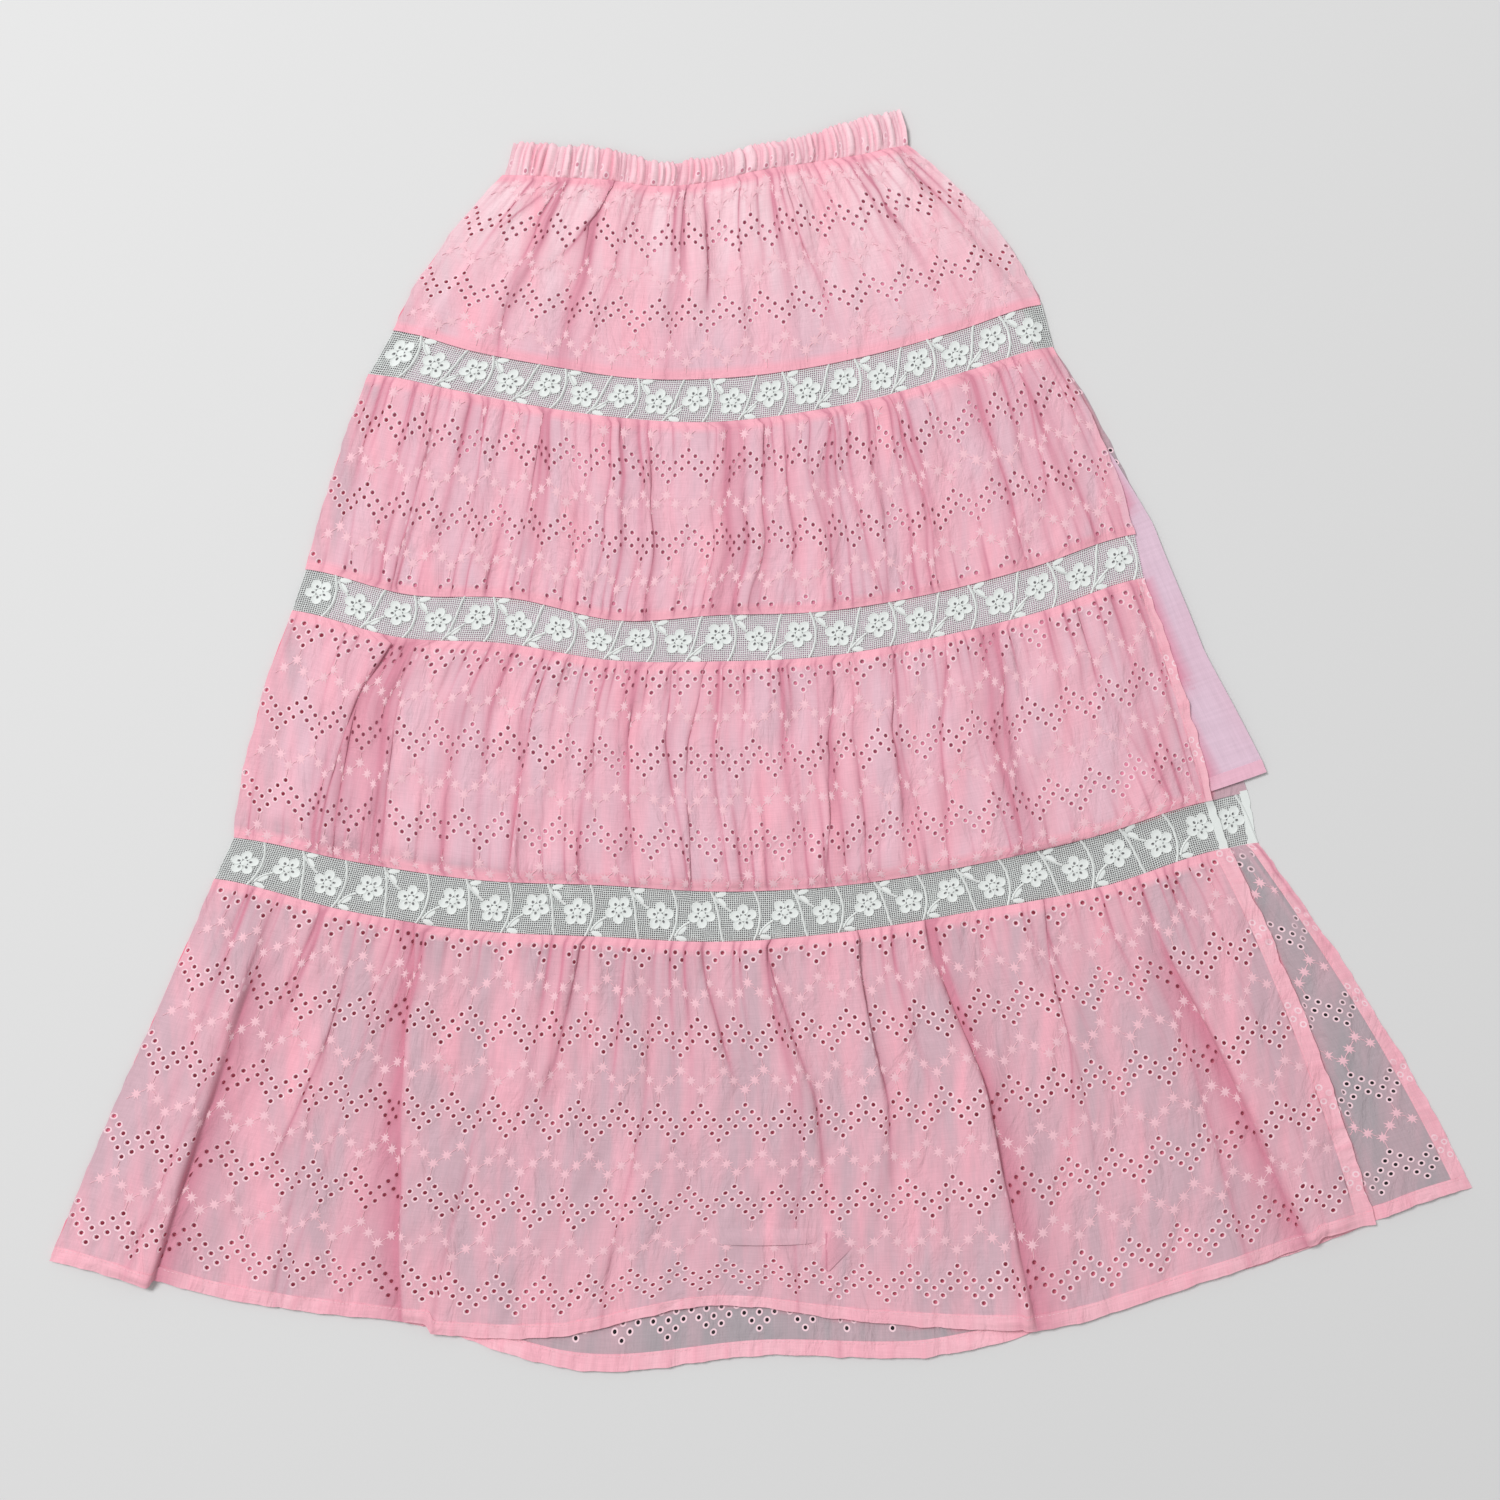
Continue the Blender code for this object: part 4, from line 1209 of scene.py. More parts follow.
def let_through(tree, shader, colour, strength):
    """What lies under the sheer front gets a little light through it, seen at the eyelets."""
    glow = blend_colours(tree, mark(tree, "under"), (0.0, 0.0, 0.0, 1.0), rgb(colour))
    feed(tree, shader, {"Emission Color": glow, "Emission Strength": strength})


class Materials:
    """The skirt's finishes, on groups that they share."""

    def __init__(self):
        self.weave = weave_group()
        self.eyelets = eyelet_group()
        self.tint = fold_tint_group()
        self.crumples = crumple_group()
        self.net = net_group()

    def woven(self, tree, cloth, over, doubled, crease, waist, covered):
        """Height of the weave, and the cloth's colour."""
        weave = group_node(tree, self.weave).outputs
        tint = group_node(tree, self.tint, {
            "Cloth": rgb(cloth), "Over lining": rgb(over), "Doubled": rgb(doubled),
            "Crease": rgb(crease), "Waist": rgb(waist), "Covered": rgb(covered), "Tone": weave["Tone"]})
        return weave["Height"], tint.outputs[0]

    def voile(self, name, cloth, over, doubled, crease, waist, thread, covered=None, closed=None, band=1.0):
        """Eyelet voile: covered is its colour under other cloth, a painted rose tint with a faint glow for
        the light through the cloth above, closed the colour painted at the middle of eyelets that aren't
        cut, a painted shadow on the back, and band how far doubled cloth hides the rings."""
        material, tree, shader = new_material(name, sheen=0.15)
        height, colour = self.woven(tree, cloth, over, doubled, crease, waist, covered or cloth)
        eyelets = group_node(tree, self.eyelets).outputs
        hidden = maths(tree, "MAXIMUM", mark(tree, "under"), mark(tree, "bare"))
        for name_of_mark, weight in (("band", band), ("crease", 1.3)):
            weighed = maths(tree, "MULTIPLY", mark(tree, name_of_mark), weight)
            hidden = maths(tree, "MAXIMUM", hidden, weighed)
        plain = clamp(tree, maths(tree, "SUBTRACT", 1.0, hidden))
        for part, part_colour in (("Ring", thread), ("Centre", closed)):
            if part_colour is not None:
                shown = maths(tree, "MULTIPLY", eyelets[part], plain)
                colour = blend_colours(tree, shown, colour, rgb(part_colour))
        if covered:
            let_through(tree, shader, covered, 0.10)
        height = maths(tree, "ADD", height, maths(tree, "MULTIPLY", eyelets["Height"], 0.6))
        crumples = bump(tree, group_node(tree, self.crumples).outputs["Height"], 0.45, 0.009)
        normal = bump(tree, height, 0.25, 0.0003, Normal=crumples)
        feed(tree, shader, {"Base Color": colour, "Normal": normal})
        return material

    def plain(self, name, colour, crease, covered):
        """Plain voile; where it is covered, the sheer cloth above lets a little light through to it."""
        material, tree, shader = new_material(name, sheen=0.1)
        height, tint = self.woven(tree, colour, colour, colour, crease, colour, covered)
        let_through(tree, shader, covered, 0.20)
        feed(tree, shader, {"Base Color": tint, "Normal": bump(tree, height, 0.25, 0.0003)})
        return material

    def thread(self, name, colour):
        material, tree, shader = new_material(name, roughness=0.6, sheen=0.2)
        fibres = noise(tree, object_place(tree), 1400.0, 2.0)["Fac"]
        soft = blend_colours(tree, fibres, rgb([part * 0.86 for part in colour]), rgb(colour))
        feed(tree, shader, {"Base Color": soft, "Normal": bump(tree, fibres, 0.3, 0.0002)})
        return material

    def lace_net(self, name, colour, shadow):
        """Net whose gaps hold a painted shadow, thin over the lining and dense over the table, and a full
        painted shadow under the flowers.
        """
        material, tree, shader = new_material(name, roughness=0.8)
        net = group_node(tree, self.net).outputs
        under = mark(tree, "under")
        colour = blend_colours(tree, net["Alpha"], rgb(shadow), rgb(colour))
        # Under the flowers' middles the net is painted in full shadow, seen through their eyelets
        colour = blend_colours(tree, under, colour, rgb(shadow))
        # The painted shadow in the net's gaps: thin over the lining, denser over the table, and uneven
        gap_shadow = map_range(tree, mark(tree, "cover"), 0.0, 1.0, 0.5, 0.08)
        patches = noise(tree, object_place(tree), 130.0, 3.0)["Fac"]
        uneven = map_range(tree, patches, 0.35, 0.65, 0.35, 1.6)
        gap_shadow = maths(tree, "MULTIPLY", gap_shadow, uneven)
        veil = maths(tree, "MAXIMUM", net["Alpha"], gap_shadow)
        feed(tree, shader, {"Base Color": colour, "Alpha": maths(tree, "MAXIMUM", veil, under),
                            "Normal": bump(tree, net["Height"], 0.3, 0.0002)})
        return material


# Settings shown in the panel

def colour_property(name, description, *default):
    return bpy.props.FloatVectorProperty(
        name=name, description=description, subtype="COLOR", size=3, min=0.0, max=1.0, default=default)


class SkirtColours(bpy.types.PropertyGroup):
    """Colours of the cloths and threads."""

    voile: colour_property("Voile", "Eyelet voile over the back cloth", 0.655, 0.43, 0.495)
    voile_lined: colour_property("Lined voile", "Eyelet voile over the lining", 0.80, 0.50, 0.585)
    doubled: colour_property("Doubled voile",
                             "Voile turned double at hems and seams", 0.96, 0.455, 0.545)
    hem: colour_property("Hem", "Voile turned under twice", 0.97, 0.53, 0.61)
    # Deeper pink of voile doubled in a crease, also painted on as shade in creases and beside folds
    crease: colour_property("Crease", "Voile deep in a crease", 0.68, 0.26, 0.35)
    waist: colour_property("Waist", "Voile near the waist", 0.96, 0.68, 0.735)
    single_deep: colour_property("Deep single voile",
                                 "The single layer where it is creased", 0.60, 0.40, 0.455)
    single: colour_property("Single voile", "The back's single layer", 0.42, 0.365, 0.395)
    ring: colour_property("Eyelet rings", "Thread round the eyelets", 1.0, 0.72, 0.785)
    thread: colour_property("Pink thread", "Thread of the stars and the seams", 0.97, 0.585, 0.66)
    lace: colour_property("Lace", "Thread of the lace", 0.86, 0.90, 0.88)
    # The lining where the front lies over it: a deeper rose painted for the light that comes through the
    # pink cloth above, with a faint glow, seen at the eyelets
    lining_lit_through: colour_property("Lining under cloth",
                                "The lining as seen through eyelets", 0.62, 0.20, 0.30)
    # The back where the front lies over it: a deeper rose painted for the light through the front, with a
    # faint glow, seen at the eyelets
    back_lit_through: colour_property("Back under cloth", "The back as seen through eyelets", 0.82, 0.22, 0.32)
    # Painted shadow in the net's gaps and under the flowers' middles, seen through their eyelets
    lace_shadow: colour_property("Lace eyelets",
                               "Ground seen through the flowers' eyelets", 0.16, 0.15, 0.16)
    lining: colour_property("Lining", "Lining voile", 0.77, 0.56, 0.68)
    lining_hem: colour_property("Lining hem", "Lining voile turned twice", 0.86, 0.50, 0.62)


class SkirtStage(bpy.types.PropertyGroup):
    """Floor, light and camera."""

    floor: colour_property("Floor", "Colour of the floor", 0.74, 0.74, 0.74)
    key_power: bpy.props.FloatProperty(
        name="Key light", description="Power of the large soft light", default=214.0, min=0.0, unit="POWER")
    sky: bpy.props.FloatProperty(
        name="Sky", description="Strength of the even light all round", default=0.45, min=0.0)
    lens: bpy.props.FloatProperty(
        name="Lens", description="Focal length of the camera in millimetres", default=50.0, min=10.0)


SENSOR = 36.0           # width of the camera's sensor in millimetres
LIGHT_PLACE = (-2.4, 2.1, 4.8)
LIGHT_SIZE = 2.0
FLOOR_HALF = 6.0
FLOOR_DROP = 0.0002     # the floor is this far below the cloth


def cloth_marks(count, **given):
    marks = {name: np.zeros(count) for name in ("crease", "band", "cover", "under", "bare")}
    marks.update(given)
    return marks


def settle(piece, node_name):
    """The piece rides with the skirt and stands for its solid."""
    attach(piece, "root")
    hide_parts(node_name)


EYELET_SHADOW = (0.012, 0.008, 0.01)        # painted shadow in the back's eyelets, which aren't cut, where nothing lies over them


def finishes():
    """The materials, made at the first call."""
    if "materials" not in _made:
        colours = bpy.context.scene.skirt_colours
        kit = Materials()
        voile = (colours.voile, colours.voile_lined, colours.doubled, colours.crease, colours.waist)
        _made["materials"] = {
            "voile": kit.voile("eyelet_voile", *voile, colours.ring),
            "single": kit.voile("single_voile", colours.single, colours.single, colours.single_deep,
                                colours.single_deep, colours.single, colours.ring, colours.back_lit_through,
                                EYELET_SHADOW, 0.3),
            "casing": kit.voile("casing_voile", colours.waist, colours.waist, colours.doubled,
                                colours.crease, colours.waist, colours.ring,
                                closed=colours.crease),
            "hem": kit.voile("turned_hem", colours.hem, colours.hem, colours.doubled, colours.crease,
                             colours.hem, colours.ring, closed=colours.doubled),
            "lining": kit.plain("lining_voile", colours.lining, colours.crease, colours.lining_lit_through),
            "lining_hem": kit.plain("lining_hem", colours.lining_hem, colours.crease,
                                    colours.lining_lit_through),
            "thread": kit.thread("pink_thread", colours.thread),
            "lace_thread": kit.thread("lace_thread", colours.lace),
            "net": kit.lace_net("lace_net", colours.lace, colours.lace_shadow),
        }
    return _made["materials"]


SEAM_BAND = 6.5         # seam allowance under a tier's gathered edge


def seam_band(down, height, bottom):
    """1 on the double cloth beside a tier's top seam, and beside its bottom one where it has one."""
    band = 1.0 - smooth_step((down * height - SEAM_BAND + 1.0) / 2.0)
    if bottom:
        band = np.maximum(band, 1.0 - smooth_step(((1.0 - down) * height - SEAM_BAND + 1.0) / 2.0))
    return band


def surface(gathered, lift):
    """Lays flat places of a gathered cloth, at a lift above its underside."""

    def place(flat, level):
        x, y, z, crease = gathered.lay(flat, gathered.down_at(flat, level))
        if not gathered.front:
            z = z + back_lift(x, y)
        return x, y, z + lift, crease

    return place


def stitch_row(name, start, length, level, place, upright):
    """A straight row of machine stitches on flat cloth, laid with place()."""
    count = int(length / STITCH_PITCH)
    piece = repeat_flat(name, stitch_motif(), count, 1, STITCH_PITCH, 1.0, finishes()["thread"])

    def on_cloth(along, beside):
        if upright:
            return place(level + beside, start + along)
        return place(start + along, level + beside)

    def everywhere(along, beside):
        return np.ones(len(along), bool)

    lay_embroidery(piece, 1, count, everywhere, on_cloth)
    decorate(piece)


SQUEEZED = 0.42         # a cell laid narrower than this share shows no eyelet
STAR_MARGIN = 4.0       # a star's middle is this far inside the cloth at least
STAR_MARGIN_DOWN = 5.0


def open_cells(tier, columns, rows, cell_height, place):
    """The cells whose eyelets show: not those that are squeezed into a crease."""
    holed = eyelet_cells(tier, columns, rows)
    edge, level = np.meshgrid(np.arange(columns + 1.0), np.arange(rows) + 0.5)
    cell = tier.repeat_width / REPEAT_ACROSS
    x, _, _, _ = place(edge.ravel() * cell, level.ravel() * cell_height)
    wide = np.diff(x.reshape(rows, columns + 1), axis=1)
    return holed & (wide > SQUEEZED * cell)


def make_tier(name, tier, front, material, slit_hem, hem):
    """A tier's cloth with its eyelets, and its stars, stitches and turned edges."""
    node_name = name + ("_front" if front else "_back")
    gathered = Gathered(name, tier, slit_hem, front)
    columns = tier.repeats * REPEAT_ACROSS
    cloth_height = gathered.cut - hem
    rows = round(cloth_height / tier.cell_height)
    cell_height = cloth_height / rows
    flat_place = surface(gathered, 0.0)
    holed = open_cells(tier, columns, rows, cell_height, flat_place) if front else None
    coarse = 2 if hem else 1
    lattice = Lattice(columns, cloth_lines(rows, 3 if front else 1), holed,
                      COLUMNS_PER_CELL if front else coarse)

    def place(cell_x, cell_y):
        flat, level = cell_x / REPEAT_ACROSS * tier.repeat_width, cell_y * cell_height
        x, y, z, crease = flat_place(flat, level)
        band = seam_band(level / gathered.cut, gathered.cut, hem == 0.0)
        # The back where the front lies over it takes the painted rose light through the front, and shows no
        # rings
        under = np.zeros(len(x)) if front else under_front(x, y)
        bare = np.where((cell_y < 0.99) | (cell_y > rows - 0.99), 1.0, 0.0)
        marks = cloth_marks(len(x), crease=crease, band=band, cover=lining_cover(x, y), under=under,
                            bare=bare)
        return x, y, z, marks

    piece = cloth_piece(node_name + "_cloth", lattice, place, material, tier)
    settle(piece, node_name)

    if slit_hem:
        make_turned_edge(gathered, node_name.replace(name, name + "_slit_hem"), (gathered.cloth, 0.0),
                         (gathered.width - gathered.cloth, cloth_height), True)
    if hem:
        make_turned_edge(gathered, "hem_front" if front else "hem_back", (0.0, cloth_height),
                         (gathered.width, hem), False)
    if hem and front:
        for fold_name, shape in FOLDED_OVER.items():
            fold_over(gathered, fold_name, *shape)
    if not front and not hem:
        return

    fit = tier._replace(cell_height=cell_height)
    motif = voile_motif(fit)
    periods = math.ceil((rows + tier.first_row) / REPEAT_DOWN)
    stars = repeat_flat(node_name + "_stars", motif, tier.repeats, periods, tier.repeat_width,
                        cell_height * REPEAT_DOWN, finishes()["thread"], STEM_THREAD)
    above = tier.first_row * cell_height

    def on_cloth(flat, level):
        return surface(gathered, WALL - 0.05)(flat, level - above)

    def inside(flat, level):
        level = level - above
        on_it = (flat > STAR_MARGIN) & (flat < gathered.cloth - STAR_MARGIN)
        on_it &= (level > STAR_MARGIN_DOWN) & (level < cloth_height - STAR_MARGIN_DOWN)
        if not front:
            x, y, _, _ = flat_place(flat, level)
            on_it &= under_front(x, y) < 0.6
        return on_it

    lay_embroidery(stars, motif.count, tier.repeats * periods, inside, on_cloth)
    decorate(stars)


# Cloth folded over low on the flounce's middle: four corners each, how far it stands off, how deep its
# crease colour is (the deeper pink of doubled cloth, with painted shade), and how steeply its ends rise
FOLDED_OVER = {
    "corner_fold": (((55.0, -376.0), (79.0, -388.5), (54.0, -413.0), (46.0, -407.0)), 0.6, 0.35, 14.0),
    "corner_edge": (((50.5, -379.0), (52.0, -379.0), (52.0, -412.0), (50.5, -411.0)), 0.9, 0.9, 14.0),
    "tuck": (((-48.0, -378.0), (52.0, -377.0), (46.0, -391.0), (-38.0, -392.0)), 1.3, 0.0, 4.0),
}


def fold_over(gathered, name, corners, lift, depth, steepness):
    """A small piece of doubled cloth that lies on the flounce, just above its nearest points."""
    flat, level = np.meshgrid(np.arange(400.0, 900.0, 3.0), np.arange(150.0, 310.0, 3.0))
    near_x, near_y, near_z, _ = surface(gathered, WALL)(flat.ravel(), level.ravel())
    (x0, y0), (x1, y1), (x2, y2), (x3, y3) = corners

    def place(across, down):
        along, beside = across / 100.0, down / 20.0
        bow = 1.2 * np.sin(np.pi * along)
        x = mix(mix(x0, x1, along), mix(x3, x2, along), beside)
        y = mix(mix(y0, y1, along), mix(y3, y2, along), beside) - bow
        distance = (x[:, None] - near_x) ** 2 + (y[:, None] - near_y) ** 2
        nearest = np.argpartition(distance, 4, axis=1)[:, :4]
        ground = near_z[nearest].max(axis=1)
        edge = np.minimum(np.minimum(along, 1.0 - along) * steepness, 1.0)
        z = ground - 0.75 + (lift + 0.9) * edge * smooth_step(beside * 1.4)
        return x, y, z, cloth_marks(len(x), crease=np.full(len(x), depth), bare=np.ones(len(x)))

    piece = plain_sheet("tier_4_front_" + name, (0.0, 0.0), (100.0, 20.0), place, finishes()["voile"],
                        (6.0, 4.0), FOLDED_WALL)
    decorate(piece)


def decorate(piece):
    """The piece rides with the skirt."""
    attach(piece, "root")


def doubled_marks(place, start, size, upright):
    """Marks of a turned hem: it puckers along its length, and its outer edge wavers."""
    def marked(flat, level):
        x, y, z, crease = place(flat, level)
        along, beside = (level, flat) if upright else (flat, level)
        outer = np.clip((beside - start) / size, 0.0, 1.0)
        pucker = ripple(along * 3.4, beside * 1.2, 81)
        z = z + 0.34 * np.clip(pucker, -1.0, 2.0)
        waver = 0.45 * outer * ripple(along * 1.3, along * 0.0, 82)
        if upright:
            x = x + waver
        else:
            y = y + waver
        puckered = np.clip(0.5 * pucker, 0.0, 0.8)
        return x, y, z, cloth_marks(len(x), crease=crease * 0.8, band=puckered)

    return marked


def make_turned_edge(gathered, node_name, corner, size, upright):
    """The flounce's turned hem, or an upright turned edge at the slit, with its row of stitches."""
    if upright:
        cells, per_cell, held = (4.5, 4.0), 2, "laid"
        stitches, lift = (2.0, size[1] - 3.0, corner[0] + 1.8), 0.95
    else:
        cells, per_cell, held = (6.0, 3.0), 3, "gathered"
        stitches, lift = (1.0, size[0] - 2.0, corner[1] + 1.6), 1.05
    axis = 0 if upright else 1
    place = doubled_marks(surface(gathered, 0.1), corner[axis], size[axis], upright)
    edge = plain_sheet(node_name + "_cloth", corner, size, place, finishes()["hem"], cells, TURNED_WALL,
                       per_cell, gathered.tier)
    settle(edge, node_name)
    stitch_row(node_name + "_stitches", *stitches, surface(gathered, lift), upright)


# Each lace's flowers and seed
LACES = {"lace_1": (18, 61), "lace_2": (21, 62), "lace_3": (24, 63)}
LACE_UNDER = 2.2        # the lace reaches this far under the cloth at each side
TURNED_END = 6.5        # of the lowest lace, at the slit


def make_lace(name, front):
    """A band of net with its embroidered flowers, leaves and vines."""
    flowers, seed = LACES[name]
    strip = STRIPS[name if front or name == "lace_1" else "back_" + name]
    width, height = strip_size(strip)
    node_name = name + ("_front" if front else "_back")
    reach = LACE_UNDER / height
    full = height + 2.0 * LACE_UNDER
    spacing = width / flowers
    flip = -1.0 if name == "lace_3" else 1.0

    def place(flat, level):
        down = mix(-reach, 1.0 + reach, level / full)
        x, y = strip_point(strip, flat / width, down)
        wave = ripple(flat, level, seed)
        y = y + 0.25 * wave
        if front:
            z = FRONT_Z + OVER_LINING * lining_cover(x, y) + 0.12 + 0.2 * np.clip(wave, -0.5, 2.5)
        else:
            z = BACK_REST + 0.1 * np.clip(wave, -0.5, 2.0)
        return x, y, z, cloth_marks(len(x), under=flower_shadow(flat, level), cover=lining_cover(x, y))

    # Where the net lies under a flower's middle; the net there is painted in full shadow
    def flower_shadow(flat, level):
        turn = np.floor(flat / spacing)
        middle_y = full / 2.0 + flip * np.where(turn % 2 == 0, -FLOWER_SHIFT, FLOWER_SHIFT)
        distance = np.hypot(flat - (turn + 0.5) * spacing, level - middle_y)
        return smooth_step((7.5 - distance) / 2.5)

    net = plain_sheet(node_name + "_net", (0.0, 0.0), (width, full), place, finishes()["net"],
                      (6.0, 6.0), NET_WALL)
    settle(net, node_name)
    pairs = math.ceil(flowers / 2.0)
    motif = lace_motif(spacing, full, name == "lace_3")
    work = repeat_flat(node_name + "_flowers", motif, pairs, 1, spacing * 2.0, 1.0,
                       finishes()["lace_thread"], VINE_THREAD)

    def over_net(flat, level):
        x, y, z, marks = place(flat, level)
        return x, y, z + 0.2, marks

    def inside(flat, level):
        return flat < width - 4.0

    lay_embroidery(work, motif.count, pairs, inside, over_net)
    decorate(work)
    if name != "lace_3":
        return

    def turned(flat, level):
        x, y, z, marks = place(flat, level)
        return x + 0.5 * ripple(level * 2.0, level * 0.0, seed + 7), y, z + 0.28, marks

    end = plain_sheet(node_name + "_turned_end", (width - TURNED_END, 0.4), (TURNED_END, full - 0.8),
                      turned, finishes()["lace_thread"], (2.0, 3.0), NET_WALL)
    decorate(end)


CASING = Tier("waistband", 17, 30.4, 4.94, 10, 76, 0, 0, 31)
CASING_PUFF = 2.6       # how far it puffs up between its gathers
MEAN_SAG = 0.66         # a level of the lining hangs this share of its sag on the mean


def make_casing(front):
    """The waist casing, gathered fine on its elastic."""
    node_name = "waistband_front" if front else "waistband_back"
    gathered = Gathered("waistband", CASING, 0.0, front)
    rows = round(gathered.height / CASING.cell_height)
    columns = CASING.repeats * REPEAT_ACROSS
    lattice = Lattice(columns, cloth_lines(rows, 3), None, 4)

    def place(cell_x, cell_y):
        flat = cell_x / REPEAT_ACROSS * CASING.repeat_width
        down = cell_y / rows
        x, y, z, crease = gathered.lay(flat, down)
        edge = np.maximum(1.0 - down * 3.0, 0.0)
        y = y - (2.0 * np.clip(crease * 2.0, 0.0, 1.0) - 1.1) * edge
        y = y + 0.6 * edge * ripple(flat * 1.2, down * 5.0, 91)
        puff = np.maximum(1.0 - crease * 2.6, 0.0)
        if front:
            z = z + CASING_PUFF * np.sin(np.pi * np.clip(down, 0.0, 1.0)) ** 0.5 * puff
        return x, y, z, cloth_marks(len(x), crease=crease * 0.55, cover=np.ones(len(x)))

    piece = cloth_piece(node_name + "_cloth", lattice, place, finishes()["casing"], CASING)
    settle(piece, node_name)


def make_lining(front):
    """The lining, and the hem of its front cloth."""
    node_name = "lining_front" if front else "lining_back"
    levels = np.array(LINING_LEVELS, float)
    width = float(np.mean(levels[:, 2] - levels[:, 0]))
    drops = levels[0, 1] + levels[0, 3] - levels[:, 1] - levels[:, 3]
    depths = drops / 2.0 + levels[:, 4] * MEAN_SAG - levels[0, 4] * MEAN_SAG
    height = float(depths[-1])
    base = (LINING_FRONT_Z if front else LINING_BACK_Z) + 0.1
    hem_from = float(depths[-2])

    def place(flat, level):
        down = np.interp(level, depths, np.arange(len(depths)) / (len(depths) - 1.0))
        x, y = lining_point(flat / width, down)
        wave = ripple(flat * 0.7, level * 0.4, 71 if front else 72)
        edge = smooth_step((1.0 - flat / width) * width / 10.0)
        x = x + 0.5 * wave * np.where(flat / width > 0.5, 1.0, -1.0) * (1.0 - edge)
        under = under_front(x, y)
        inside = np.minimum(flat, width - flat)
        rise = smooth_step(inside / 30.0) * smooth_step(level / 15.0)
        rise = rise * smooth_step((height - level) / 20.0) * mix(2.5, 1.0, wide_lace(x, y))
        z = base + 0.18 * np.clip(wave, -0.5, 2.5) + (rise * under if front else 0.0)
        # Where the front lies over the lining and no lace does, the lining takes the painted rose light
        # through the cloth above
        hidden = under * (1.0 - under_lace(x, y))
        crease = 0.12 * np.clip(wave, 0.0, 2.0) * (1.0 - hidden)
        return x, y, z, cloth_marks(len(x), crease=crease, under=hidden)

    end = hem_from if front else height
    cloth = plain_sheet(node_name + "_cloth", (0.0, 0.0), (width, end), place, finishes()["lining"],
                        (11.0, 14.0), LINING_WALL, 1)
    settle(cloth, node_name)
    if front:
        hem = plain_sheet("lining_hem_front_cloth", (0.0, end), (width, height - end), place,
                          finishes()["lining_hem"], (8.0, 6.0), LINING_HEM_WALL, 1)
        settle(hem, "lining_hem_front")


def under_front(x, y):
    """1 where the front's tiers lie over the back, and 0 where the back shows."""
    right = right_side(("tier_1", "tier_2", "tier_3", "tier_4"), 12, y)
    return smooth_step((right - x) / 4.0 + 0.5) * smooth_step((y - seam_y("front_hem", x)) / 4.0)


def under_lace(x, y):
    """1 where a lace band lies over this place."""
    shown = np.zeros_like(x)
    for name in LACES:
        below_top = smooth_step((seam_y(name + "_top", x) + 3.0 - y) / 3.0)
        above_bottom = smooth_step((y - seam_y(name + "_bottom", x) + 3.0) / 3.0)
        shown = np.maximum(shown, below_top * above_bottom)
    return shown


def wide_lace(x, y):
    """Like under_lace, and reaching a little under the tiers too."""
    return np.maximum(under_lace(x, y + 3.5), under_lace(x, y - 3.5))


def back_lift(x, y):
    """The back stands a little off the surface where the front doesn't weigh on it."""
    right, outer = (right_side((name,), 30, y) for name in ("tier_4", "back_tier_4"))
    beside = smooth_step((x - right - 2.0) / 12.0) * smooth_step((outer - x) / 16.0)
    below = smooth_step((seam_y("front_hem", x) - y - 2.0) / 10.0)
    low = smooth_step((BACK_LIFT_FROM - y) / 30.0)
    return BACK_LIFT * np.maximum(beside * low, below * 0.8)


class SKIRT_OT_front(bpy.types.Operator):
    """Make the four tiers of the front"""

    bl_idname = "skirt.front"
    bl_label = "Front tiers"

    def execute(self, context):
        slit_hems = {"tier_3": TIER_3_SLIT_HEM_WIDTH, "tier_4": SLIT_HEM_WIDTH}
        for name, tier in FRONT_TIERS.items():
            hem = HEM_HEIGHT if name == "tier_4" else 0.0
            make_tier(name, tier, True, finishes()["voile"], slit_hems.get(name, 0.0),
                      hem)
        return {"FINISHED"}


class SKIRT_OT_back(bpy.types.Operator):
    """Make the four tiers of the back"""

    bl_idname = "skirt.back"
    bl_label = "Back tiers"

    def execute(self, context):
        for name, tier in BACK_TIERS.items():
            last = name == "tier_4"
            make_tier(name, tier, False, finishes()["single"],
                      SLIT_HEM_WIDTH if last else 0.0, HEM_HEIGHT if last else 0.0)
        return {"FINISHED"}


class SKIRT_OT_lace(bpy.types.Operator):
    """Make the three lace bands, front and back"""

    bl_idname = "skirt.lace"
    bl_label = "Lace"

    def execute(self, context):
        for name in LACES:
            for front in (False, True):
                make_lace(name, front)
        return {"FINISHED"}


class SKIRT_OT_casing(bpy.types.Operator):
    """Make the waist casing, front and back"""

    bl_idname = "skirt.casing"
    bl_label = "Waist casing"

    def execute(self, context):
        for front in (False, True):
            make_casing(front)
        return {"FINISHED"}


class SKIRT_OT_lining(bpy.types.Operator):
    """Make the lining between the front and the back"""

    bl_idname = "skirt.lining"
    bl_label = "Lining"

    def execute(self, context):
        for front in (False, True):
            make_lining(front)
        return {"FINISHED"}


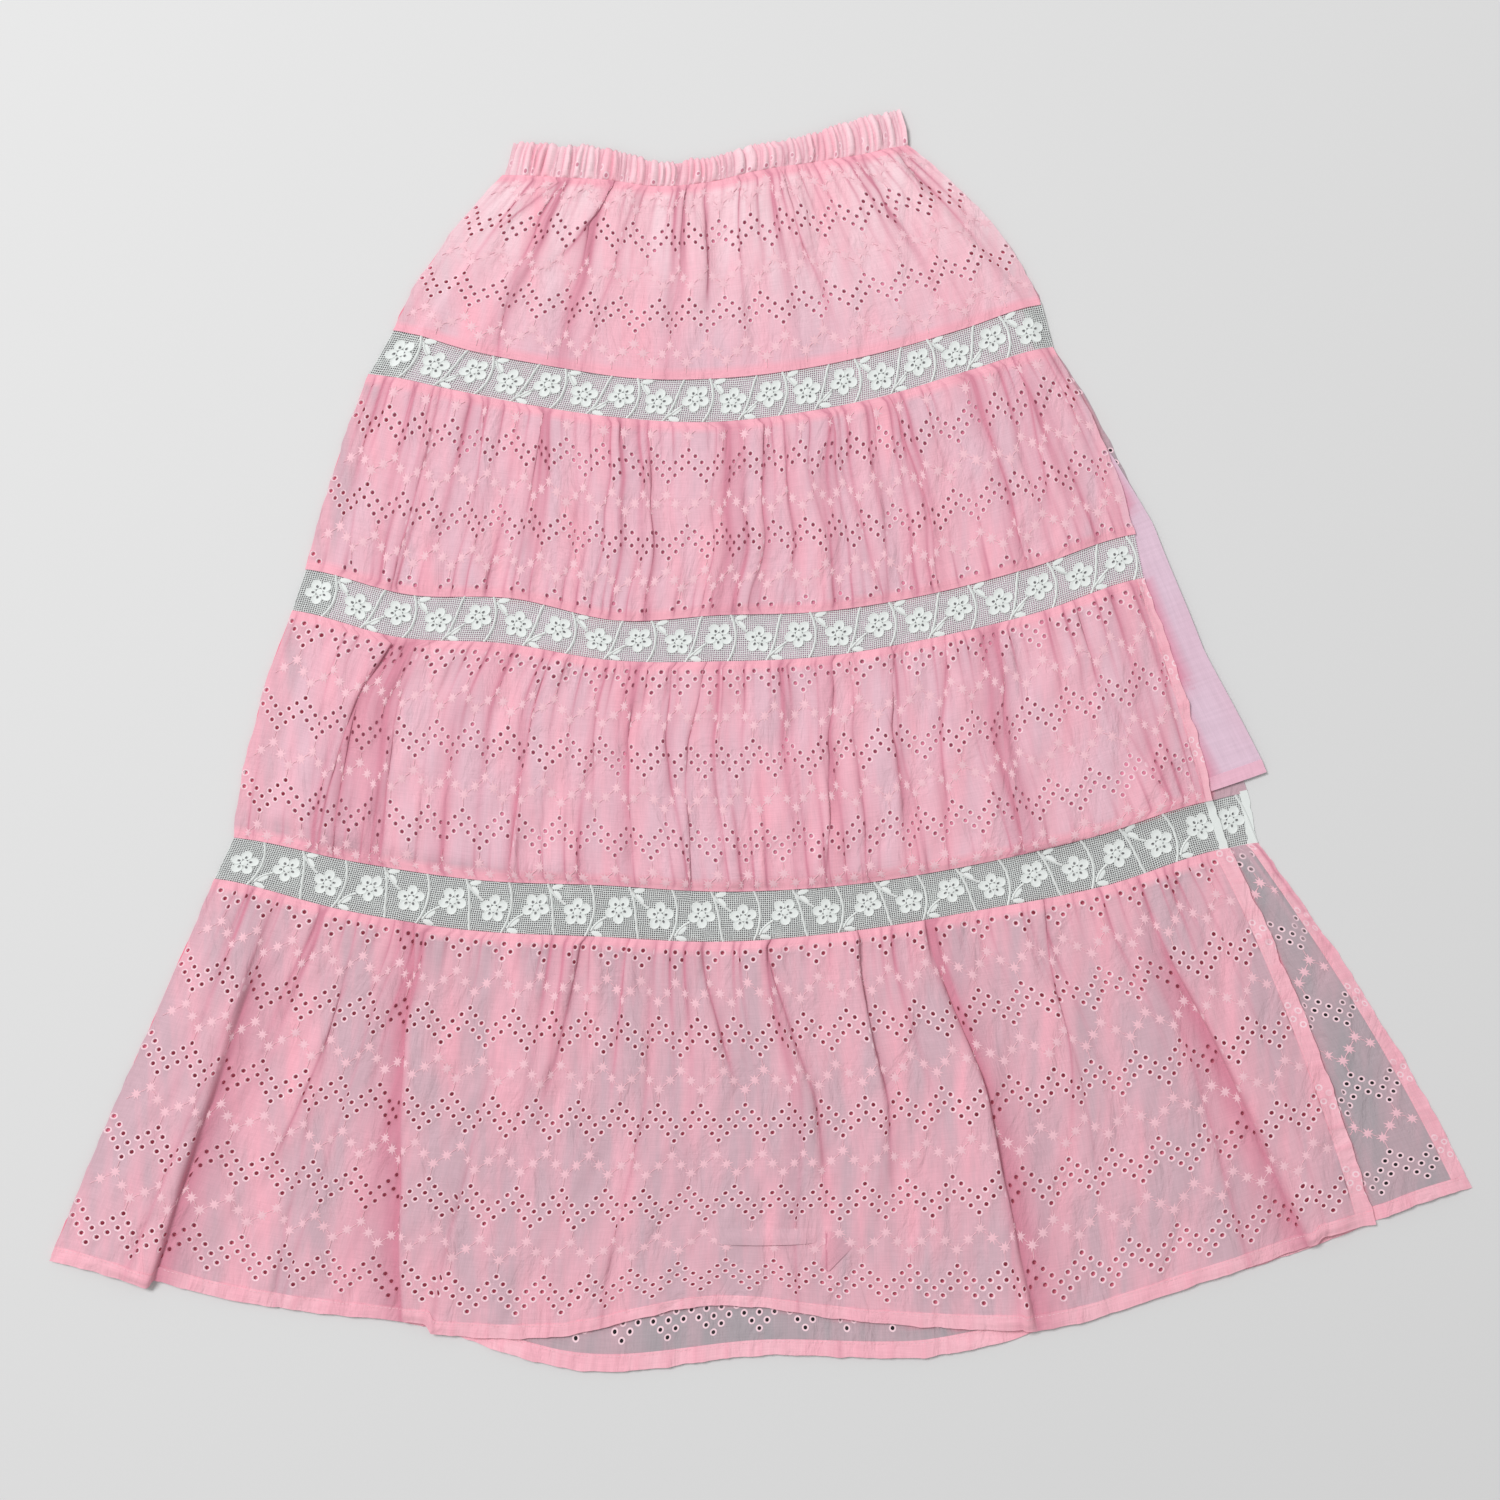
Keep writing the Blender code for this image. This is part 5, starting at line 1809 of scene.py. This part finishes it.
class SKIRT_OT_stage(bpy.types.Operator):
    """Set the floor, the soft light and the camera above"""

    bl_idname = "skirt.stage"
    bl_label = "Floor, light and camera"

    def execute(self, context):
        settings = context.scene.skirt_stage
        floor_mesh = bpy.data.meshes.new("floor")
        builder = bmesh.new()
        bmesh.ops.create_grid(builder, x_segments=1, y_segments=1, size=FLOOR_HALF)
        bmesh.ops.translate(builder, verts=builder.verts, vec=(0.0, 0.0, -FLOOR_DROP))
        builder.to_mesh(floor_mesh)
        builder.free()
        floor = add_object("floor", floor_mesh)
        material, _, shader = new_material("floor")
        shader.inputs["Base Color"].default_value = rgb(settings.floor)
        floor_mesh.materials.append(material)

        world = bpy.data.worlds.new("sky")
        world.use_nodes = True
        feed(world.node_tree, world.node_tree.nodes["Background"],
             {"Color": (1.0, 1.0, 1.0, 1.0), "Strength": settings.sky})
        context.scene.world = world

        light_data = bpy.data.lights.new("key", "AREA")
        light_data.shape = "DISK"
        light_data.size = LIGHT_SIZE
        light_data.energy = settings.key_power
        light = add_object("key", light_data)
        light.location = LIGHT_PLACE
        light.rotation_euler = (-light.location).to_track_quat("-Z", "Y").to_euler()

        camera_data = bpy.data.cameras.new("camera")
        camera_data.lens = settings.lens
        camera_data.sensor_width = SENSOR
        width = PHOTO_WIDTH * PX * MM
        distance = width * settings.lens / SENSOR
        camera = add_object("camera", camera_data)
        middle_x = (PHOTO_MIDDLE[0] - PHOTO_ZERO[0]) * PX * MM
        middle_y = ((PHOTO_ZERO[1] - PHOTO_MIDDLE[1]) * PX - MIDDLE_Y) * MM
        camera.location = (middle_x, middle_y, distance)
        context.scene.camera = camera
        context.scene.view_settings.view_transform = "Standard"
        return {"FINISHED"}


class SKIRT_PT_panel(bpy.types.Panel):
    """The skirt's pieces and settings"""

    bl_idname = "SKIRT_PT_panel"
    bl_label = "Ruffle skirt"
    bl_space_type = "VIEW_3D"
    bl_region_type = "UI"
    bl_category = "Skirt"

    def draw(self, context):
        for operator in OPERATORS:
            self.layout.operator(operator.bl_idname)
        for settings in (context.scene.skirt_colours, context.scene.skirt_stage):
            for key in settings.__annotations__:
                self.layout.prop(settings, key)


OPERATORS = (
    SKIRT_OT_stage, SKIRT_OT_back, SKIRT_OT_lining, SKIRT_OT_lace, SKIRT_OT_front, SKIRT_OT_casing,
)
CLASSES = (SkirtColours, SkirtStage) + OPERATORS + (SKIRT_PT_panel,)


def register():
    for item in CLASSES:
        bpy.utils.register_class(item)
    bpy.types.Scene.skirt_colours = bpy.props.PointerProperty(type=SkirtColours)
    bpy.types.Scene.skirt_stage = bpy.props.PointerProperty(type=SkirtStage)


def unregister():
    del bpy.types.Scene.skirt_stage
    del bpy.types.Scene.skirt_colours
    for item in reversed(CLASSES):
        bpy.utils.unregister_class(item)


def main():
    register()
    bpy.ops.skirt.stage()
    bpy.ops.skirt.back()
    bpy.ops.skirt.lining()
    bpy.ops.skirt.lace()
    bpy.ops.skirt.front()
    bpy.ops.skirt.casing()


if __name__ == "__main__":
    main()
